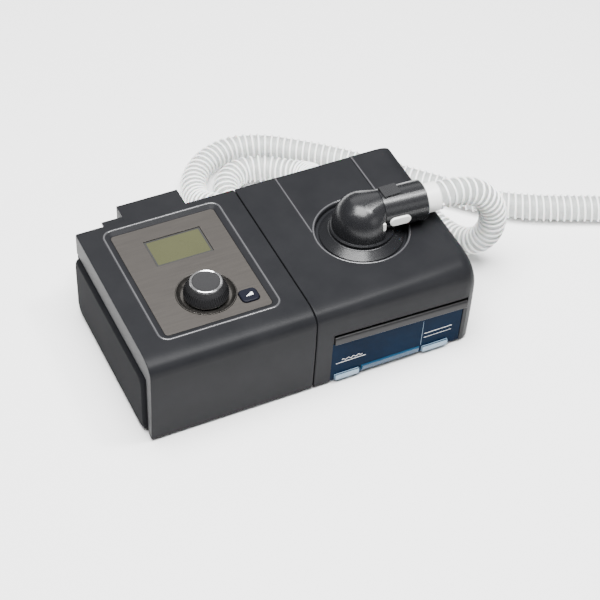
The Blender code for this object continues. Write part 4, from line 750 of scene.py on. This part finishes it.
# %% Display
def panel_finish():
    finish = Finish("display_panel", Specular_IOR_Level=0.3)
    slow = finish.noise(40.0, 3.0)
    finish.wire(finish.mix(slow, (0.036, 0.038, 0.0150), (0.049, 0.051, 0.0215)), "Base Color")
    finish.wire(finish.spread(slow, 0.3, 0.7, 0.22, 0.32), "Roughness")
    finish.bump(finish.noise(1500.0, 2.0), 0.00001)
    return finish.material


def flat_frame(name, low, high, border, z, thick, material):
    """A thin flat frame: an outer and an inner rectangle joined by four faces, with a thickness."""
    bm = bmesh.new()
    rectangles = []
    for inset in (0.0, border):
        x0, y0, x1, y1 = low[0] + inset, low[1] + inset, high[0] - inset, high[1] - inset
        rectangles.append([(x0, y0), (x1, y0), (x1, y1), (x0, y1)])
    rings = []
    for height in (z, z + thick):
        rings += [[bm.verts.new((x, y, height)) for x, y in ring] for ring in rectangles]
    outer_low, inner_low, outer_high, inner_high = rings
    for i in range(4):
        j = (i + 1) % 4
        bm.faces.new((outer_high[i], outer_high[j], inner_high[j], inner_high[i]))
        bm.faces.new((outer_low[j], outer_low[i], inner_low[i], inner_low[j]))
        bm.faces.new((outer_low[i], outer_low[j], outer_high[j], outer_high[i]))
        bm.faces.new((inner_low[j], inner_low[i], inner_high[i], inner_high[j]))
    return placed(name, bm, material)


def placed(name, bm, material, smooth_angle=35.0):
    """An object from a bmesh in the frame's axes, with one finish and outward faces."""
    bmesh.ops.recalc_face_normals(bm, faces=bm.faces)
    mesh = bpy.data.meshes.new(name)
    bm.to_mesh(mesh)
    bm.free()
    mesh.shade_smooth()
    mesh.set_sharp_from_angle(angle=math.radians(smooth_angle))
    mesh.materials.append(material)
    made = bpy.data.objects.new(name, mesh)
    scene.collection.objects.link(made)
    return made


window_low, window_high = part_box("lcd_window")
panel_glass = panel_finish()
black_print = moulded("black_print", (0.018, 0.018, 0.017), (0.012, 0.012, 0.012), 0.35)
finish_node("lcd_window", panel_glass, 0.0002)
finish_node("lcd_module", black_print, 0.0)
FRAME_WIDTH = 0.0016
frame_print = flat_frame(
    "display_frame_print",
    window_low,
    window_high,
    FRAME_WIDTH,
    window_high.z - 0.00002,
    0.00008,
    black_print,
)
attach(frame_print, "machine")
print("display frame at", round(window_high.z, 4))

# %% [markdown]
# The wheel keeps its CAD shape, and its skirt is gripped all round. The grips are one small
# six-sided bar that Geometry Nodes places in a ring. The tree takes the number of grips, their
# distance from the wheel's axis, and their tilt, so that they lie along the cone.


# %% Control wheel
def grip_tree(material):
    numbers = [
        ("Count", "NodeSocketInt"),
        ("Bar radius", "NodeSocketFloat"),
        ("Bar length", "NodeSocketFloat"),
        ("Distance", "NodeSocketFloat"),
        ("Height", "NodeSocketFloat"),
        ("Tilt", "NodeSocketFloat"),
        ("Centre", "NodeSocketVector"),
    ]
    tree = Tree("dial_grips", numbers)
    given = tree.source.outputs
    bar = tree.add(
        "GeometryNodeMeshCylinder", Vertices=6, Radius=given["Bar radius"], Depth=given["Bar length"]
    ).outputs["Mesh"]
    tilt = tree.add("ShaderNodeCombineXYZ", Y=given["Tilt"]).outputs[0]
    out = tree.add("ShaderNodeCombineXYZ", X=given["Distance"], Z=given["Height"]).outputs[0]
    leaning = tree.add("GeometryNodeTransform", Geometry=bar, Rotation=tilt, Translation=out).outputs[0]
    spots = tree.add("GeometryNodeMeshLine", Count=given["Count"], Offset=(0.0, 0.0, 0.0)).outputs[0]
    index = tree.add("GeometryNodeInputIndex").outputs[0]
    step = tree.math("DIVIDE", 2 * math.pi, given["Count"])
    turn = tree.add("ShaderNodeCombineXYZ", Z=tree.math("MULTIPLY", index, step)).outputs[0]
    ring = tree.add(
        "GeometryNodeInstanceOnPoints", Points=spots, Instance=leaning, Rotation=turn
    ).outputs[0]
    moved = tree.add("GeometryNodeTransform", Geometry=ring, Translation=given["Centre"]).outputs[0]
    tree.end(moved, (material, None))
    return tree


dial_rubber = moulded(
    "dial_rubber",
    (0.014, 0.014, 0.015),
    (0.010, 0.010, 0.011),
    0.42,
    grain=1800.0,
    depth=0.00002,
    Specular_IOR_Level=0.3,
)
wheel_low, wheel_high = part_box("control_wheel")
DIAL = ((wheel_low.x + wheel_high.x) / 2, (wheel_low.y + wheel_high.y) / 2)
finish_node("control_wheel", dial_rubber, 0.0004)
finish_node("wheel_cap", dial_rubber, 0.0002)
finish_node("wheel_trim_ring", chrome, 0.0)
# Radius and height of the grips' lower and upper ends.
SKIRT = (0.0188, wheel_low.z + 0.0032)
NECK = (0.0163, wheel_high.z - 0.0036)
grips = grip_tree(dial_rubber).plain_mesh(
    "wheel_grips",
    line_mesh("grip_seed", [(0, 0, 0), (0, 0, 0.001)]),
    {
        "Count": 54,
        "Bar radius": 0.00042,
        "Bar length": math.dist(SKIRT, NECK) - 0.0008,
        "Distance": (SKIRT[0] + NECK[0]) / 2 + 0.0001,
        "Height": (SKIRT[1] + NECK[1]) / 2,
        "Tilt": math.atan2(NECK[0] - SKIRT[0], NECK[1] - SKIRT[1]),
        "Centre": (DIAL[0], DIAL[1], 0.0),
    },
)
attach(grips, "dial_wheel")
print(f"grips: {len(grips.data.polygons)} faces round", [round(v, 4) for v in DIAL])

# %% [markdown]
# The ramp button is dark blue-grey and carries a small white wedge, the plain sign for a slow rise. The
# wedge is a thin moulded inlay on the button, so that it moves with it when it is pressed.


# %% Ramp button
def prism(name, outline, z, thick, material):
    """A flat outline with a thickness, standing at height z."""
    bm = bmesh.new()
    lower = [bm.verts.new((x, y, z)) for x, y in outline]
    upper = [bm.verts.new((x, y, z + thick)) for x, y in outline]
    bm.faces.new(lower)
    bm.faces.new(upper)
    for i in range(len(outline)):
        j = (i + 1) % len(outline)
        bm.faces.new((lower[i], lower[j], upper[j], upper[i]))
    return placed(name, bm, material)


button_plastic = moulded(
    "button_plastic", (0.007, 0.0075, 0.013), (0.005, 0.0055, 0.010), 0.38, Specular_IOR_Level=0.08
)
white_print = moulded("white_print", (0.84, 0.84, 0.83), (0.76, 0.76, 0.75), 0.45)
finish_node("ramp_button", button_plastic, 0.0003)
button_low, button_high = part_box("ramp_button")
button_x = (button_low.x + button_high.x) / 2
button_y = (button_low.y + button_high.y) / 2
wedge = [(-0.0034, -0.0016), (0.0034, -0.0016), (0.0034, 0.0018), (0.0026, 0.0018)]
wedge_inlay = prism(
    "ramp_wedge",
    [(button_x + x, button_y + y) for x, y in wedge],
    button_high.z - 0.00005,
    0.0002,
    white_print,
)
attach(wedge_inlay, "ramp_key")
print("ramp button at", round(button_x, 4), round(button_y, 4))

# %% [markdown]
# The white pieces are a firm glossy plastic: the hose cuffs, the release button and the mark by
# the joint. They are the brightest parts, so their tone is kept a little under pure white.

# %% White pieces
white_plastic = moulded("white_plastic", (0.80, 0.80, 0.78), (0.73, 0.73, 0.71), 0.34)
for node in ("machine_cuff", "mask_cuff", "release_button"):
    finish_node(node, white_plastic, 0.0003)
finish_node("alignment_mark", white_plastic, 0.0)
print("white pieces finished")

# %% [markdown]
# The tank door is dyed a deep blue, and only a little light passes through it. The tank behind is
# a paler and clearer blue plastic. The latch bar above the door is a neutral charcoal.


# %% Door and tank
def clear_plastic(name, light, dark, roughness, transmission, **constants):
    finish = Finish(name, Transmission_Weight=transmission, **constants)
    slow = finish.noise(35.0, 4.0, 0.6)
    finish.wire(finish.mix(finish.spread(slow, 0.3, 0.7, 0.0, 1.0), dark, light), "Base Color")
    finish.wire(finish.spread(slow, 0.3, 0.7, roughness - 0.02, roughness + 0.05), "Roughness")
    finish.bump(finish.noise(60.0, 2.0), 0.00006)
    return finish.material


door_blue = clear_plastic(
    "door_blue", (0.0008, 0.010, 0.028), (0.0004, 0.006, 0.018), 0.14, 0.05, Specular_IOR_Level=0.01
)
tank_clear = clear_plastic("tank_clear", (0.07, 0.18, 0.33), (0.05, 0.14, 0.28), 0.10, 0.55)
latch_plastic = moulded(
    "latch_plastic", (0.013, 0.0128, 0.0135), (0.0095, 0.0093, 0.010), 0.34, Specular_IOR_Level=0.2
)
finish_node("tank_door", door_blue, 0.0003)
finish_node("tank_chamber", tank_clear, 0.0003)
finish_node("latch_bar", latch_plastic, 0.0004)
print("door and tank finished")

# %% [markdown]
# The door carries fine detail: two pale finger tabs at its lower edge, a bevelled pull strip
# between them, and white fill marks. The marks are plain level lines and a ripple. Each is drawn
# on the door's raked face by one function that knows how the front leans back towards its bottom.


# %% Door details
FRONT = -0.0942 + 0.0006  # the door's face where the front is upright
RAKE = 0.0033  # how far the front leans back at its bottom
RAKE_TOP = 0.0756
RAKE_BOTTOM = 0.0030


def on_door(x, z, proud):
    """A point over the door's outer face, proud of it."""
    lean = RAKE * max(0.0, (RAKE_TOP - z) / (RAKE_TOP - RAKE_BOTTOM)) ** 1.5
    return (x, FRONT + lean - proud, z)


def door_patch(name, outline, proud, sink, material, pinch=0.0):
    """A flat outline (x, z) on the door, with a thickness and a pinched outer face."""
    middle_x = sum(x for x, _ in outline) / len(outline)
    middle_z = sum(z for _, z in outline) / len(outline)
    bm = bmesh.new()
    inner = [bm.verts.new(on_door(x, z, -sink)) for x, z in outline]
    outer = []
    for x, z in outline:
        in_x = x - math.copysign(pinch, x - middle_x)
        in_z = z - math.copysign(pinch, z - middle_z)
        outer.append(bm.verts.new(on_door(in_x, in_z, proud)))
    bm.faces.new(inner)
    bm.faces.new(outer)
    for i in range(len(outline)):
        j = (i + 1) % len(outline)
        bm.faces.new((inner[i], inner[j], outer[j], outer[i]))
    return placed(name, bm, material, 20.0)


def level_line(x0, x1, z, half):
    return [(x0, z - half), (x1, z - half), (x1, z + half), (x0, z + half)]


def ripple(x0, x1, z, half, height, waves, steps=36):
    """A ripple as a thin closed outline."""
    upper = []
    lower = []
    for i in range(steps + 1):
        x = x0 + (x1 - x0) * i / steps
        middle = z + height * math.sin(2 * math.pi * waves * i / steps)
        upper.append((x, middle + half))
        lower.append((x, middle - half))
    return lower + upper[::-1]


pale_blue = clear_plastic("pale_blue", (0.33, 0.46, 0.58), (0.26, 0.39, 0.52), 0.14, 0.25)
strip_blue = clear_plastic("strip_blue", (0.012, 0.075, 0.155), (0.008, 0.055, 0.120), 0.16, 0.30)
MARK = 0.00022  # half the width of a printed line
PRINT, SUNK = 0.00012, 0.0001  # how far a print stands proud, and how far it reaches in
details = []
for side, x0, x1 in (("left", 0.0189, 0.0419), ("right", 0.1019, 0.1268)):
    outline = level_line(x0, x1, 0.0067, 0.0030)
    details.append(door_patch(f"door_tab_{side}", outline, 0.0023, 0.0002, pale_blue, 0.0006))
outline = level_line(0.0440, 0.1000, 0.0076, 0.0036)
details.append(door_patch("door_pull_strip", outline, 0.0012, 0.0002, strip_blue, 0.0012))
for name, outline in (
    ("fill_line_left", level_line(0.0196, 0.0474, 0.0232, MARK)),
    ("fill_ripple_left", ripple(0.0250, 0.0440, 0.0262, MARK, 0.0008, 4)),
    ("fill_line_right", level_line(0.1030, 0.1294, 0.0256, MARK)),
    ("fill_line_right_low", level_line(0.1030, 0.1294, 0.0206, MARK * 0.7)),
):
    details.append(door_patch(name, outline, PRINT, SUNK, white_print))
outline = level_line(0.10075, 0.10100, 0.0270, 0.0150)
details.append(door_patch("door_joint_line", outline, 0.00010, SUNK, pale_blue))
for piece in details:
    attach(piece, "door")
print(len(details), "details on the door")

# %% [markdown]
# The pieces inside and behind show only through openings and the clear door. They keep their CAD
# shapes and get simple finishes, each with its own grain: metal, rubber, board, foam and paper. The
# latch's two springs are finished in steel, each on a mesh of its own.

# %% Inner and rear pieces
plate_steel = brushed("plate_steel", (0.60, 0.60, 0.61), (0.50, 0.50, 0.51), 1.0, 0.30)
aluminium = brushed("heater_aluminium", (0.70, 0.71, 0.72), (0.60, 0.61, 0.62), 1.0, 0.36)
foot_rubber = moulded("foot_rubber", (0.045, 0.045, 0.047), (0.030, 0.030, 0.032), 0.82, 900.0, 0.00006)
silicone = moulded("silicone", (0.66, 0.67, 0.68), (0.58, 0.59, 0.60), 0.58)
board_green = moulded("board_green", (0.025, 0.150, 0.070), (0.015, 0.110, 0.050), 0.50, 600.0)
foam = moulded("filter_foam", (0.075, 0.075, 0.080), (0.030, 0.030, 0.034), 0.93, 700.0, 0.0004)
paper = moulded("filter_paper", (0.82, 0.82, 0.81), (0.72, 0.72, 0.71), 0.88, 500.0, 0.0002)
inner_plastic = moulded("inner_plastic", (0.180, 0.180, 0.190), (0.140, 0.140, 0.150), 0.50)
BY_SLOT = {
    "steel": plate_steel,
    "aluminium": aluminium,
    "rubber": foot_rubber,
    "silicone": silicone,
    "board": board_green,
    "foam": foam,
    "paper": paper,
    "inner": inner_plastic,
}
for side in ("left", "right"):
    spring = finish_node(f"latch_spring_{side}", plate_steel)
    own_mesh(spring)
coated = 0
for node, piece in frame["nodes"].items():
    if not piece.hide_render:
        coat_node(node, BY_SLOT.get(SLOT_OF[node], inner_plastic))
        coated += 1
print(coated, "pieces keep their CAD shape")
